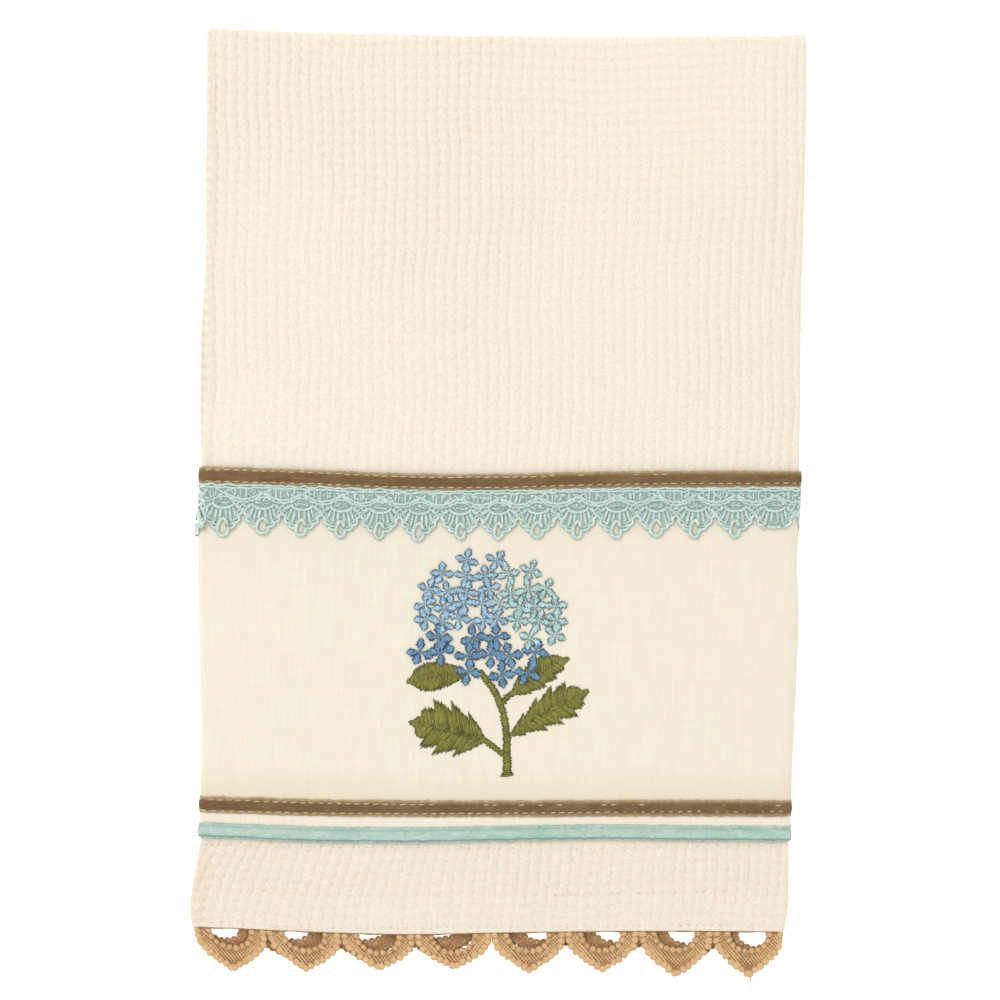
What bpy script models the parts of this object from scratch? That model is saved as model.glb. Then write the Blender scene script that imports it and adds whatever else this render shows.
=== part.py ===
"""A hand towel of ivory waffle cloth, decorated at one end and folded in four.

The towel lies face up, with +Z out of its face, +X to the right and +Y up to the top fold.  Its two
sides are folded back until they nearly meet behind the middle of the face.  The strip is then folded
over at the top, so that four layers lie on one another: the front face, the front flaps, the back
flaps and the back face, which rests on the surface.  The decorated end is the front one.  A plain-weave
panel, two brown velvet ribbons, an aqua ribbon and an aqua lace are sewn on the face, and a beige lace
hangs below the hem.  All of them run round both side folds and on to the front flaps.

A point of any piece is named by where it was on the flat towel.  ACROSS is its distance from the
middle of the face along the width.  DOWN is its distance from the top fold: positive on the front
half, negative on the back half.  PROUD is its height above the middle of the cloth's thickness.
"""

import math
from collections import namedtuple

import bmesh
import bpy
import numpy as np

MM = 0.001

# The cloth and its four layers
CLOTH = 1.2 * MM  # thickness of the waffle cloth
LAYER_GAP = 0.5 * MM  # air between two layers
PITCH = CLOTH + LAYER_GAP  # from the middle of one layer to the middle of the next
SIDE_RADIUS = PITCH / 2  # side folds, at the middle of the cloth
TOP_RADIUS = 1.5 * PITCH  # top fold, at the middle of the outer layer
FOLD_Z = CLOTH / 2 + TOP_RADIUS  # height of the top fold's axis
FACE_Z = FOLD_Z + TOP_RADIUS  # height of the front face, at the middle of the cloth
TOP_REACH = TOP_RADIUS + CLOTH / 2  # from the top fold's axis to its outer edge

# The cut cloth
FACE_HALF = 100.0 * MM  # half the face's width between its side folds
SIDE_ARC = math.pi * SIDE_RADIUS  # what a side fold takes
LEFT_FLAP = 100.6 * MM  # from the left side fold to the cut cloth's edge
RIGHT_FLAP = 96.9 * MM
FRONT_LENGTH = 305.0 * MM  # from the top fold to the decorated hem
BACK_LENGTH = 289.0 * MM  # from the top fold to the plain hem
FLAP_RISE = 3.0 * MM  # how far the front flaps' hem climbs from the side folds to its inner ends
TOP_Y = 158.9 * MM  # the top fold's nominal line

# Trims
CLEARANCE = 0.3 * MM  # between sewn pieces
TRIM = 1.0 * MM  # thickness of the panel, the ribbons and the laces
PANEL_PROUD = CLOTH / 2 + CLEARANCE + TRIM / 2
RIBBON_PROUD = PANEL_PROUD + TRIM + CLEARANCE
TRIM_END_INSET = 1.0 * MM  # the trims stop this far from the flaps' edges

Band = namedtuple("Band", "top bottom")  # how far down a strip starts and ends
PANEL = Band(149.5 * MM, 272.0 * MM)
UPPER_RIBBON = Band(147.3 * MM, 154.5 * MM)
LOWER_RIBBON = Band(259.3 * MM, 266.2 * MM)
AQUA_RIBBON = Band(268.6 * MM, 274.3 * MM)

# Aqua lace: a straight heading below the upper ribbon, then teeth that end in a drop
AQUA_TOP = UPPER_RIBBON.bottom + CLEARANCE
AQUA_HEADING = 4.0 * MM
AQUA_VALLEY = 8.4 * MM
AQUA_SHOULDER = 4.8 * MM
AQUA_DROP = 3.2 * MM
AQUA_DROP_WIDTH = 0.15  # of a tooth's pitch
AQUA_FACE_TEETH = 15
AQUA_PITCH = 2 * FACE_HALF / AQUA_FACE_TEETH
AQUA_COLUMNS = 8  # to a tooth

# Beige lace: a narrow heading, then crescents that leave an arch open below the hem
BEIGE_TOP = FRONT_LENGTH + CLEARANCE
BEIGE_HEADING = 0.9 * MM
BEIGE_VALLEY = 4.8 * MM
BEIGE_FACE_TIPS = (14.6, 14.3, 12.9, 12.0, 13.6, 13.6, 15.3, 16.3)  # millimetres, left to right
BEIGE_FLAP_TIP = 13.0 * MM
BEIGE_FLAP_SCALLOPS = 4  # whole ones, after the one that the side fold takes
BEIGE_PITCH = (2 * FACE_HALF + SIDE_ARC) / len(BEIGE_FACE_TIPS)
BEIGE_FLAP_JOINT = 19.3 * MM  # from a side fold to the flap's first joint between scallops
BEIGE_COLUMNS = 12  # to a scallop
ARCH_HALF = 0.25  # of a scallop's pitch
ARCH_DEPTH = 4.2 * MM
ARCH_END = 1.3 * MM
BEIGE_POINT = 0.86  # below 1, the crescent's flanks bulge
JOINT_MARGIN = 0.5 * MM  # a station this close to a fold or a joint counts as being on it

# Where the cloth's own edges lie, in millimetres
Edge = namedtuple("Edge", "down left right")
FRONT_EDGES = (
    Edge(0, -99.1, 104.4),
    Edge(36, -99.3, 104.2),
    Edge(70, -99.5, 103.2),
    Edge(97, -99.8, 102.5),
    Edge(124, -100.1, 102.2),
    Edge(145, -100.5, 101.8),
    Edge(178, -101.2, 100.3),
    Edge(199, -100.5, 100.5),
    Edge(219, -99.9, 99.7),
    Edge(246, -100.2, 98.2),
    Edge(274, -101.5, 98.1),
    Edge(287, -103.9, 98.4),
    Edge(297, -104.8, 98.3),
    Edge(305, -104.9, 96.9),
    Edge(308, -102.9, 96.8),
)
BACK_EDGES = (
    Edge(0, -99.1, 104.4),
    Edge(78, -99.6, 102.6),
    Edge(104, -101.5, 101.8),
    Edge(140, -101.5, 101.3),
    Edge(160, -100.2, 100.6),
    Edge(230, -99.2, 98.6),
    Edge(289, -98.6, 97.2),
)

# How far the front half is raised over the trims below it, and lowered past the back half's end
Lift = namedtuple("Lift", "down lift")
LIFTS = (
    Lift(0, 0.0),
    Lift(126, 0.0),
    Lift(145, 2.4),
    Lift(174, 2.4),
    Lift(184, 1.7),
    Lift(248, 1.7),
    Lift(258, 2.4),
    Lift(276, 2.4),
    Lift(289, 0.1),
    Lift(304, -3.4),
)

# How far up from a straight line the top fold, the ribbons and the hem lie
Sag = namedtuple("Sag", "x top upper lower hem")
SAG_DOWNS = (-100, 0, 151, 263, 305)  # the first is where the fold's own sag has faded on the back
SAGS = (
    Sag(-100, 1.9, 1.0, 1.0, 1.4),
    Sag(-67, 1.0, 0.7, 0.2, 0.4),
    Sag(-33, 0.5, -0.5, -0.2, -0.7),
    Sag(0, -0.2, -0.7, -0.3, -0.4),
    Sag(34, -0.7, 0.0, -0.2, 0.0),
    Sag(68, -0.3, 0.3, 0.0, 0.0),
    Sag(104, -0.5, 0.3, 0.0, 0.2),
)

# How finely the solids are divided
FACE_COLUMNS = 12
FLAP_COLUMNS = 4
SIDE_STEPS = 5
TOP_STEPS = 8
ROW_LENGTH = 24.0 * MM

Colour = namedtuple("Colour", "red green blue")  # as seen on a screen, 0 to 255
IVORY = Colour(244, 236, 218)
LINEN = Colour(245, 238, 221)
BROWN = Colour(120, 96, 68)
AQUA = Colour(158, 203, 194)
AQUA_VELVET = Colour(148, 198, 190)
BEIGE = Colour(213, 170, 117)


def column(table, field):
    """One column of a table, in metres."""
    return [getattr(row, field) * MM for row in table]


def edges(down):
    """The x of the cloth's left and right edges at a distance down the front, or along the back."""
    table = FRONT_EDGES if down >= 0 else BACK_EDGES
    stations = column(table, "down")
    return [float(np.interp(abs(down), stations, column(table, field))) for field in ("left", "right")]


def sag(x, down):
    """How far up from its nominal place a point lies."""
    stations = column(SAGS, "x")
    lines = [float(np.interp(x, stations, column(SAGS, field))) for field in ("top", "upper", "lower", "hem")]
    return float(np.interp(down, [station * MM for station in SAG_DOWNS], [0.0] + lines))


def place(across, down, proud=0.0):
    """Where a point of the flat towel lies once the towel is folded."""
    side = math.copysign(1.0, across)
    past_face = max(abs(across) - FACE_HALF, 0.0)
    turn = math.pi * min(past_face / SIDE_ARC, 1.0)
    inward = max(past_face - SIDE_ARC, 0.0)
    share = (min(abs(across), FACE_HALF) - inward) / FACE_HALF
    left, right = edges(down)
    half = (right - left) / 2 - SIDE_RADIUS - CLOTH / 2
    x = (left + right) / 2 + side * (share * half + (SIDE_RADIUS + proud) * math.sin(turn))
    height = (SIDE_RADIUS + proud) * math.cos(turn) - SIDE_RADIUS
    if down >= TOP_REACH:
        lift = float(np.interp(down, column(LIFTS, "down"), column(LIFTS, "lift")))
        rise = FLAP_RISE * past_face / LEFT_FLAP * (down - TOP_REACH) / FRONT_LENGTH
        y = TOP_Y - down + rise
        z = FACE_Z + height + lift
    else:
        over = math.pi / 2 * min(1 - down / TOP_REACH, 2.0)
        y = TOP_Y - TOP_REACH + (TOP_RADIUS + height) * math.sin(over) + min(down + TOP_REACH, 0.0)
        z = FOLD_Z + (TOP_RADIUS + height) * math.cos(over)
    return x, y + sag(x, down), z


def spread(start, end, count):
    """Count equal steps from start to end, without the end."""
    return [start + (end - start) * i / count for i in range(count)]


def section(face, flap, inset=0.0):
    """Stations across the flat cloth, from the left flap's edge to the right one's.

    FACE holds the stations on the face, and FLAP gives those from a side fold out to a flap's length.
    """
    bend = [step * SIDE_ARC for step in spread(0.0, 1.0, SIDE_STEPS)]
    left = [SIDE_ARC + out for out in flap(LEFT_FLAP - inset)]
    right = [SIDE_ARC + out for out in flap(RIGHT_FLAP - inset)]
    stations = [-FACE_HALF - out for out in reversed(bend + left)]
    stations += face
    stations += [FACE_HALF + out for out in bend + right]
    return stations


def even_section(inset=0.0):
    """Evenly spaced stations, for the cloth, the panel and the ribbons."""
    face = spread(-FACE_HALF, FACE_HALF, FACE_COLUMNS)[1:]
    return section(face, lambda length: spread(0.0, length, FLAP_COLUMNS) + [length], inset)


def rows_between(top, bottom):
    """Rows of a strip of the front half, including those where the cloth's height or edge changes."""
    bends = column(LIFTS, "down") + column(FRONT_EDGES, "down")
    marks = [top] + sorted(mark for mark in set(bends) if top < mark < bottom) + [bottom]
    rows = []
    for start, end in zip(marks, marks[1:]):
        rows += spread(start, end, math.ceil((end - start) / ROW_LENGTH))
    return rows + [bottom]


def screen_to_linear(value):
    """A screen colour's channel as the linear value that a shader takes."""
    share = value / 255
    return share / 12.92 if share <= 0.04045 else ((share + 0.055) / 1.055) ** 2.4


def fabric(name, colour, roughness):
    """A plain fabric material."""
    material = bpy.data.materials.new(name)
    material.use_nodes = True
    shader = material.node_tree.nodes["Principled BSDF"]
    shader.inputs["Base Color"].default_value = [screen_to_linear(v) for v in colour] + [1.0]
    shader.inputs["Roughness"].default_value = roughness
    shader.inputs["Metallic"].default_value = 0.0
    return material


def strip(name, columns, rows, point, thickness, look, is_open=None):
    """A solid strip of the folded cloth, from a grid whose points are moved to their places.

    COLUMNS are stations across, and ROWS are stations down or names of lines that POINT understands.
    IS_OPEN says of a column and a row, counted from the left and the top, whether that cell is a hole.
    """
    across_count, down_count = len(columns) - 1, len(rows) - 1
    mesh = bpy.data.meshes.new(name)
    grid = bmesh.new()
    bmesh.ops.create_grid(grid, x_segments=across_count, y_segments=down_count, size=0.5)
    cells = {}
    for face in grid.faces:
        middle = face.calc_center_median()
        cell_column = math.floor((middle.x + 0.5) * across_count)
        cell_row = math.floor((0.5 - middle.y) * down_count)
        cells[face] = (cell_column, cell_row)
    for vertex in grid.verts:
        i = round((vertex.co.x + 0.5) * across_count)
        j = round((0.5 - vertex.co.y) * down_count)
        vertex.co = point(columns[i], rows[j])
    if is_open:
        holes = [face for face, cell in cells.items() if is_open(*cell)]
        bmesh.ops.delete(grid, geom=holes, context="FACES")
    grid.to_mesh(mesh)
    grid.free()
    mesh.materials.append(look)
    mesh.shade_smooth()
    mesh.set_sharp_from_angle(angle=math.radians(50))
    solid = bpy.data.objects.new(name, mesh)
    shell = solid.modifiers.new("thickness", "SOLIDIFY")
    shell.thickness = thickness
    shell.offset = 0.0
    return solid


def towel_cloth():
    """The waffle cloth itself: the front half, the top fold and the back half, hems and all."""
    fold = spread(TOP_REACH, -TOP_REACH, TOP_STEPS)
    back = [-row for row in spread(TOP_REACH, BACK_LENGTH, math.ceil(BACK_LENGTH / ROW_LENGTH))]
    front = rows_between(TOP_REACH, FRONT_LENGTH)
    rows = [-BACK_LENGTH] + back[::-1] + fold[:0:-1] + front
    return strip("towel_cloth", even_section(), rows, place, CLOTH, fabric("waffle", IVORY, 0.95))


def flat_trim(name, band, proud, look):
    """A straight-edged strip sewn round the front half, its height above the cloth given by PROUD."""
    columns = even_section(TRIM_END_INSET)
    rows = rows_between(*band)
    return strip(name, columns, rows, lambda across, down: place(across, down, proud), TRIM, look)


def aqua_lace():
    """The lace below the upper ribbon: a straight heading and a row of teeth, each with a drop."""
    face = spread(-FACE_HALF, FACE_HALF, AQUA_FACE_TEETH * AQUA_COLUMNS)[1:]

    def flap_stations(length):
        return spread(0.0, length, math.ceil(length / AQUA_PITCH * AQUA_COLUMNS)) + [length]

    def depth(across):
        tooth = (across + FACE_HALF) / AQUA_PITCH % 1.0
        shoulder = math.sin(math.pi * tooth) ** 0.7
        drop = math.exp(-(((tooth - 0.5) / AQUA_DROP_WIDTH) ** 2))
        return AQUA_VALLEY + AQUA_SHOULDER * shoulder + AQUA_DROP * drop

    lines = {
        "top": lambda across: 0.0,
        "heading": lambda across: AQUA_HEADING,
        "teeth": depth,
    }

    def point(across, line):
        return place(across, AQUA_TOP + lines[line](across), RIBBON_PROUD)

    columns = section(face, flap_stations, TRIM_END_INSET)
    return strip("aqua_lace", columns, list(lines), point, TRIM, fabric("aqua_lace", AQUA, 0.8))


def beige_joints():
    """Where two scallops of the beige lace meet, across the flat cloth from left to right."""
    fold = FACE_HALF + SIDE_ARC / 2
    flap_start = FACE_HALF + SIDE_ARC + BEIGE_FLAP_JOINT
    flap = [flap_start + n * BEIGE_PITCH for n in range(BEIGE_FLAP_SCALLOPS + 1)]
    face = [-fold + n * BEIGE_PITCH for n in range(len(BEIGE_FACE_TIPS) + 1)]
    return [-joint for joint in reversed(flap)] + face + flap


def beige_lace():
    """The lace that hangs from the hem: crescents, each open in an arch below its heading."""
    joints = beige_joints()
    flap_tips = [BEIGE_FLAP_TIP] * (BEIGE_FLAP_SCALLOPS + 1)
    tips = flap_tips + [tip * MM for tip in BEIGE_FACE_TIPS] + flap_tips

    def scallop(across):
        """Which scallop a station is in, and how far through it, from 0 to 1."""
        n = int(np.searchsorted(joints, across + JOINT_MARGIN)) - 1
        n = min(max(n, 0), len(tips) - 1)
        return n, max(across - joints[n], 0.0) / (joints[n + 1] - joints[n])

    def inner(across):
        off_middle = (scallop(across)[1] - 0.5) / ARCH_HALF
        rise = math.sqrt(max(1 - off_middle**2, 0.0))
        return BEIGE_HEADING + max(ARCH_DEPTH * rise, ARCH_END)

    def outer(across):
        n, through = scallop(across)
        inward = max(1 - abs(2 * through - 1), 0.0)
        return BEIGE_VALLEY + (tips[n] - BEIGE_VALLEY) * inward**BEIGE_POINT

    lines = {
        "top": lambda across: 0.0,
        "heading": lambda across: BEIGE_HEADING,
        "inner": inner,
        "outer": outer,
    }

    def point(across, line):
        return place(across, BEIGE_TOP + lines[line](across))

    def stations(start, end):
        """The scallops' own stations that lie well between two places."""
        found = []
        for left, right in zip(joints, joints[1:]):
            found += spread(left, right, BEIGE_COLUMNS)
        return [at for at in found if start + JOINT_MARGIN < at < end - JOINT_MARGIN]

    def flap_stations(length):
        fold = FACE_HALF + SIDE_ARC
        return [0.0] + [at - fold for at in stations(fold, fold + length)] + [length]

    columns = section(stations(-FACE_HALF, FACE_HALF), flap_stations, TRIM_END_INSET)

    def is_arch(cell_column, cell_row):
        middle = (columns[cell_column] + columns[cell_column + 1]) / 2
        return cell_row == 1 and abs(scallop(middle)[1] - 0.5) < ARCH_HALF

    look = fabric("beige_lace", BEIGE, 0.85)
    return strip("beige_lace", columns, list(lines), point, TRIM, look, is_arch)


def clear_scene():
    """Removes what is in the scene."""
    for thing in list(bpy.data.objects):
        bpy.data.objects.remove(thing)


def build():
    """Makes the towel in a collection of its own."""
    clear_scene()
    towel = bpy.data.collections.new("hand_towel")
    bpy.context.scene.collection.children.link(towel)
    pieces = [
        towel_cloth(),
        flat_trim("linen_panel", PANEL, PANEL_PROUD, fabric("plain_weave", LINEN, 0.9)),
        flat_trim("upper_brown_ribbon", UPPER_RIBBON, RIBBON_PROUD, fabric("upper_velvet", BROWN, 0.9)),
        aqua_lace(),
        flat_trim("lower_brown_ribbon", LOWER_RIBBON, RIBBON_PROUD, fabric("lower_velvet", BROWN, 0.9)),
        flat_trim("aqua_ribbon", AQUA_RIBBON, RIBBON_PROUD, fabric("aqua_velvet", AQUA_VELVET, 0.85)),
        beige_lace(),
    ]
    for piece in pieces:
        towel.objects.link(piece)


build()
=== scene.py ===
"""Looks for the folded hand towel: its cloth, panel, velvet ribbons, laces and embroidery.

Every soft solid of the frame is replaced by a detailed piece that lies where the solid does.  A point
of any piece is named by where it was on the flat towel, as in the part's own source.  ACROSS is its
distance from the middle of the face along the width.  DOWN is its distance from the top fold: positive
on the front half, negative on the back half.  PROUD is its height above the middle of the cloth.
"""

import math
from collections import namedtuple

import bpy
import numpy as np
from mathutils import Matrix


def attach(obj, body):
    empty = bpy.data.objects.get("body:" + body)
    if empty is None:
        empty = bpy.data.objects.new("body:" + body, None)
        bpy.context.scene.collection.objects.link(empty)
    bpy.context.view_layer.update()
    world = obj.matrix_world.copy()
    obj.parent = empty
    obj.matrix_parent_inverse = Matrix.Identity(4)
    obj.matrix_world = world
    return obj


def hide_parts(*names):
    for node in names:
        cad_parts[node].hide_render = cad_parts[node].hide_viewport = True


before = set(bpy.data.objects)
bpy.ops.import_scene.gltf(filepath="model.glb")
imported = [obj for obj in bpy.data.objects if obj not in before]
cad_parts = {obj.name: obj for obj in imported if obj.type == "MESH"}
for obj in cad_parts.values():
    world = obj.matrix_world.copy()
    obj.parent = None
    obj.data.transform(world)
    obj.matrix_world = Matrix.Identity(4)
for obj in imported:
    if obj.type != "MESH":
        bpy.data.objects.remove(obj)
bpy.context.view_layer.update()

MM = 0.001
TURN = 2 * math.pi
chance = np.random.default_rng(7)  # the only source of unevenness, always the same


def table(columns, *rows):
    """Rows with named columns."""
    row_type = namedtuple("Row", columns)
    return [row_type(*row) for row in rows]


def column(rows, field):
    """One column of a table, in metres."""
    return np.array([getattr(row, field) for row in rows]) * MM


class Band(namedtuple("Band", "top bottom")):
    """A stretch of the towel, by its distances down."""

    middle = property(lambda band: (band.top + band.bottom) / 2)
    width = property(lambda band: band.bottom - band.top)


# ---------------------------------------------------------------------------------------------------
# The folded towel, as in the part's source

CLOTH = 1.2 * MM  # thickness of the waffle cloth
LAYER_GAP = 0.5 * MM
PITCH = CLOTH + LAYER_GAP
SIDE_RADIUS = PITCH / 2
TOP_RADIUS = 1.5 * PITCH
FOLD_Z = CLOTH / 2 + TOP_RADIUS
FACE_Z = FOLD_Z + TOP_RADIUS
TOP_REACH = TOP_RADIUS + CLOTH / 2

FACE_HALF = 100.0 * MM
SIDE_ARC = math.pi * SIDE_RADIUS
FOLD = FACE_HALF + SIDE_ARC  # where the flaps behind the face start
LEFT_FLAP = 100.6 * MM
RIGHT_FLAP = 96.9 * MM
FRONT_LENGTH = 305.0 * MM
BACK_LENGTH = 289.0 * MM
FLAP_RISE = 3.0 * MM
TOP_Y = 158.9 * MM

CLEARANCE = 0.3 * MM
TRIM = 1.0 * MM  # thickness of the solid panel, ribbons and laces
PANEL_PROUD = CLOTH / 2 + CLEARANCE + TRIM / 2
TRIM_END_INSET = 1.0 * MM
PRESSED = 0.55  # how much closer to the cloth the trims lie where they go round a side fold

PANEL = Band(149.5 * MM, 272.0 * MM)
UPPER_RIBBON = Band(147.3 * MM, 154.5 * MM)
AQUA_RIBBON = Band(268.6 * MM, 274.3 * MM)
AQUA_TOP = UPPER_RIBBON.bottom + CLEARANCE
AQUA_FACE_TEETH = 15
AQUA_PITCH = 2 * FACE_HALF / AQUA_FACE_TEETH
BEIGE_TOP = FRONT_LENGTH + CLEARANCE

# Where the cloth's side edges are, in millimetres
FRONT_EDGES = table(
    "down left right",
    (0, -99.1, 104.4),
    (36, -99.3, 104.2),
    (70, -99.5, 103.2),
    (97, -99.8, 102.5),
    (124, -100.1, 102.2),
    (145, -100.5, 101.8),
    (178, -101.2, 100.3),
    (199, -101.0, 101.0),
    (219, -100.4, 100.2),
    (246, -100.1, 98.8),
    (268, -100.6, 98.0),
    (279, -101.5, 98.1),
    (287, -103.5, 98.4),
    (297, -104.8, 98.3),
    (305, -104.9, 96.9),
    (308, -102.9, 96.8),
)
BACK_EDGES = table(
    "down left right",
    (0, -99.1, 104.4),
    (78, -99.6, 102.6),
    (104, -101.5, 101.8),
    (140, -101.5, 101.3),
    (160, -100.2, 100.6),
    (230, -99.2, 98.6),
    (289, -98.6, 97.2),
)
EDGE_SOFTNESS = 4.0 * MM  # over how far the corners of these tables are rounded
FULLER = {"left": -0.45 * MM, "right": 0.65 * MM}  # how much fuller the real cloth's edges stand

# How far the front half is lifted by what lies under it, in millimetres
LIFTS = table(
    "down lift",
    *((0, 0.0), (126, 0.0), (145, 2.4), (174, 2.4), (184, 1.7)),
    *((248, 1.7), (258, 2.4), (276, 2.4), (289, 0.1), (304, -3.4)),
)
LIFT_SOFTNESS = 5.0 * MM

# How far up from straight level lines run, in millimetres, at each x and these distances down: not at
# all at the first, and as the table says at the other four
SAG_DOWNS = (-100, 0, 151, 263, 305)
SAGS = table(
    "x top upper lower hem",
    (-100, 3.2, 1.7, 1.0, 1.0),
    (-67, 1.7, 0.8, 0.2, -0.6),
    (-33, 0.9, -0.7, -0.2, -1.7),
    (0, 0.5, -0.9, -0.3, -0.9),
    (34, 0.0, 0.1, -0.2, -0.5),
    (68, 0.4, 0.3, 0.0, -0.4),
    (104, 0.8, 0.3, 0.0, -0.8),
)
SAG_SOFTNESS = 12.0 * MM

# Long low waves of the face.  ACROSS and DOWN are their lengths, in millimetres.
BILLOWS = table(
    "across down phase height",
    (170, 240, 0.4, 0.30),
    (-95, 150, 2.1, 0.20),
    (62, -88, 4.4, 0.10),
    (-41, 57, 1.0, 0.05),
)
BILLOW_START = 30.0 * MM  # they grow from nothing at the top fold to their height here

# Soft upright creases in the face, in millimetres
CREASES = table(
    "x top bottom width depth",
    (3.2, 2, 85, 0.7, 0.30),  # over the left flap's edge
    (6.0, 2, 85, 0.7, 0.30),  # over the right flap's edge
    (94.9, 4, 120, 0.9, 0.35),
    (98.0, 4, 90, 0.8, 0.25),
    (56.6, 172, 254, 1.2, 0.20),  # in the panel
)
CREASE_FADE = 18.0 * MM
FLAT_EDGE = 8.0 * MM  # the waves and creases fade out this near the side folds


def soft_interp(at, stations, values, softness):
    """Straight lines between a table's points, with their corners rounded."""
    offsets = np.linspace(-softness, softness, 7)
    return np.mean([np.interp(at + offset, stations, values) for offset in offsets], axis=0)


def ease(share):
    """0 below 0, 1 above 1, and a smooth way between."""
    share = np.clip(share, 0.0, 1.0)
    return share * share * (3 - 2 * share)


def edges(down):
    """The x of the cloth's left and right edges at each distance down."""
    both = []
    for field in ("left", "right"):
        front, back = [
            soft_interp(np.abs(down), column(rows, "down"), column(rows, field), EDGE_SOFTNESS)
            for rows in (FRONT_EDGES, BACK_EDGES)
        ]
        both.append(np.where(down >= 0, front, back) + FULLER[field])
    return both


def sag(x, down):
    """How far up from its nominal place a point lies."""
    lines = [0.0 * x]
    for field in ("top", "upper", "lower", "hem"):
        lines.append(soft_interp(x, column(SAGS, "x"), column(SAGS, field), SAG_SOFTNESS))
    total = 0.0 * x
    stations = np.array(SAG_DOWNS) * MM
    for n, line in enumerate(lines):
        total = total + np.interp(down, stations, np.eye(len(stations))[n]) * line
    return total


def unevenness(x, down):
    """How far the face stands up from its plain shape: its waves, less its creases."""
    total = 0.0 * x
    for wave in BILLOWS:
        angle = TURN * (x / (wave.across * MM) + down / (wave.down * MM)) + wave.phase
        total = total + wave.height * MM * (0.5 + 0.5 * np.sin(angle))
    total = total * ease(down / BILLOW_START)
    for crease in CREASES:
        length = ease((down - crease.top * MM) / CREASE_FADE)
        length = length * ease((crease.bottom * MM - down) / CREASE_FADE)
        off = (x - crease.x * MM) / (crease.width * MM)
        total = total - crease.depth * MM * length * np.exp(-off * off)
    return total


def place(across, down, proud=0.0):
    """Where points of the flat towel lie once it is folded, as an array of (x, y, z)."""
    across, down, proud = np.broadcast_arrays(*[np.asarray(v, float) for v in (across, down, proud)])
    side = np.where(across < 0, -1.0, 1.0)
    past_face = np.maximum(np.abs(across) - FACE_HALF, 0.0)
    turn = np.pi * np.minimum(past_face / SIDE_ARC, 1.0)
    inward = np.maximum(past_face - SIDE_ARC, 0.0)
    share = (np.minimum(np.abs(across), FACE_HALF) - inward) / FACE_HALF
    left, right = edges(down)
    half = (right - left) / 2 - SIDE_RADIUS - CLOTH / 2
    above = np.maximum(proud - CLOTH / 2, 0.0)
    proud = proud - PRESSED * np.sin(turn) * above
    x = (left + right) / 2 + side * (share * half + (SIDE_RADIUS + proud) * np.sin(turn))
    height = (SIDE_RADIUS + proud) * np.cos(turn) - SIDE_RADIUS

    lift = soft_interp(down, column(LIFTS, "down"), column(LIFTS, "lift"), LIFT_SOFTNESS)
    rise = FLAP_RISE * past_face / LEFT_FLAP * (down - TOP_REACH) / FRONT_LENGTH
    on_face = np.where(past_face > 0, 0.0, 1.0) * ease((FACE_HALF - np.abs(across)) / FLAT_EDGE)
    front_y = TOP_Y - down + rise
    front_z = FACE_Z + height + lift + on_face * unevenness(x, down)

    over = np.pi / 2 * np.clip(1 - down / TOP_REACH, 0.0, 2.0)
    fold_y = TOP_Y - TOP_REACH + (TOP_RADIUS + height) * np.sin(over) + np.minimum(down + TOP_REACH, 0.0)
    fold_z = FOLD_Z + (TOP_RADIUS + height) * np.cos(over)

    is_front = down >= TOP_REACH
    y = np.where(is_front, front_y, fold_y) + sag(x, down)
    z = np.where(is_front, front_z, fold_z)
    return np.stack([x, y, z], axis=-1)


# ---------------------------------------------------------------------------------------------------
# Meshes

# FLAT holds points as (across, down, proud).  THREAD holds, for each, three values that the materials
# draw their fine detail from: for a cord, millimetres along it, the share around it, and its tone.
Shape = namedtuple("Shape", "flat faces thread")


def grid_faces(rows, columns, ring=False, loop=False):
    """Quads of a grid of points.  RING joins its last column to its first, and LOOP its rows."""
    i, j = np.meshgrid(
        np.arange(rows if loop else rows - 1),
        np.arange(columns if ring else columns - 1),
        indexing="ij",
    )
    below, beside = (i + 1) % rows, (j + 1) % columns
    corners = [i * columns + j, below * columns + j, below * columns + beside, i * columns + beside]
    return np.stack(corners, axis=-1).reshape(-1, 4)


def grid_shape(across, down, proud, thread, loop=False):
    """A grid over the flat towel, THREAD being its three values there."""
    values = np.broadcast_arrays(across, down, proud, *thread)
    flat, thread = [np.stack(three, axis=-1).reshape(-1, 3) for three in (values[:3], values[3:])]
    return Shape(flat, grid_faces(*values[0].shape, loop=loop), thread)


def joined(shapes):
    """Several shapes as one."""
    starts = np.cumsum([0] + [len(shape.flat) for shape in shapes])
    return Shape(
        np.concatenate([shape.flat for shape in shapes]),
        np.concatenate([shape.faces + start for shape, start in zip(shapes, starts)]),
        np.concatenate([shape.thread for shape in shapes]),
    )


def put(name, data, location=(0.0, 0.0, 0.0)):
    """A new object in the scene."""
    made = bpy.data.objects.new(name, data)
    made.location = location
    bpy.context.scene.collection.objects.link(made)
    return made


def piece(name, shape, look, nodes=()):
    """A piece of the towel from a shape, folded into place, riding on the part's one body."""
    mesh = bpy.data.meshes.new(name)
    mesh.from_pydata(place(*shape.flat.T).tolist(), [], shape.faces.tolist())
    for field in ("thread", "flat"):
        layer = mesh.attributes.new(field, "FLOAT_VECTOR", "POINT")
        layer.data.foreach_set("vector", getattr(shape, field).astype(np.float32).ravel())
    mesh.materials.append(look)
    mesh.shade_smooth()
    made = put(name, mesh)
    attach(made, "root")
    if nodes:
        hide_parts(*nodes)
    return made


def run_lengths(path):
    """How far along a path each of its points is."""
    return np.concatenate([[0.0], np.cumsum(np.linalg.norm(np.diff(path, axis=0), axis=1))])


def sideways(steps):
    """Unit vectors in the cloth's plane, square to each step."""
    beside = np.stack([steps[:, 1], -steps[:, 0]], axis=1)
    return beside / np.maximum(np.linalg.norm(beside, axis=1, keepdims=True), 1e-9)


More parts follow.
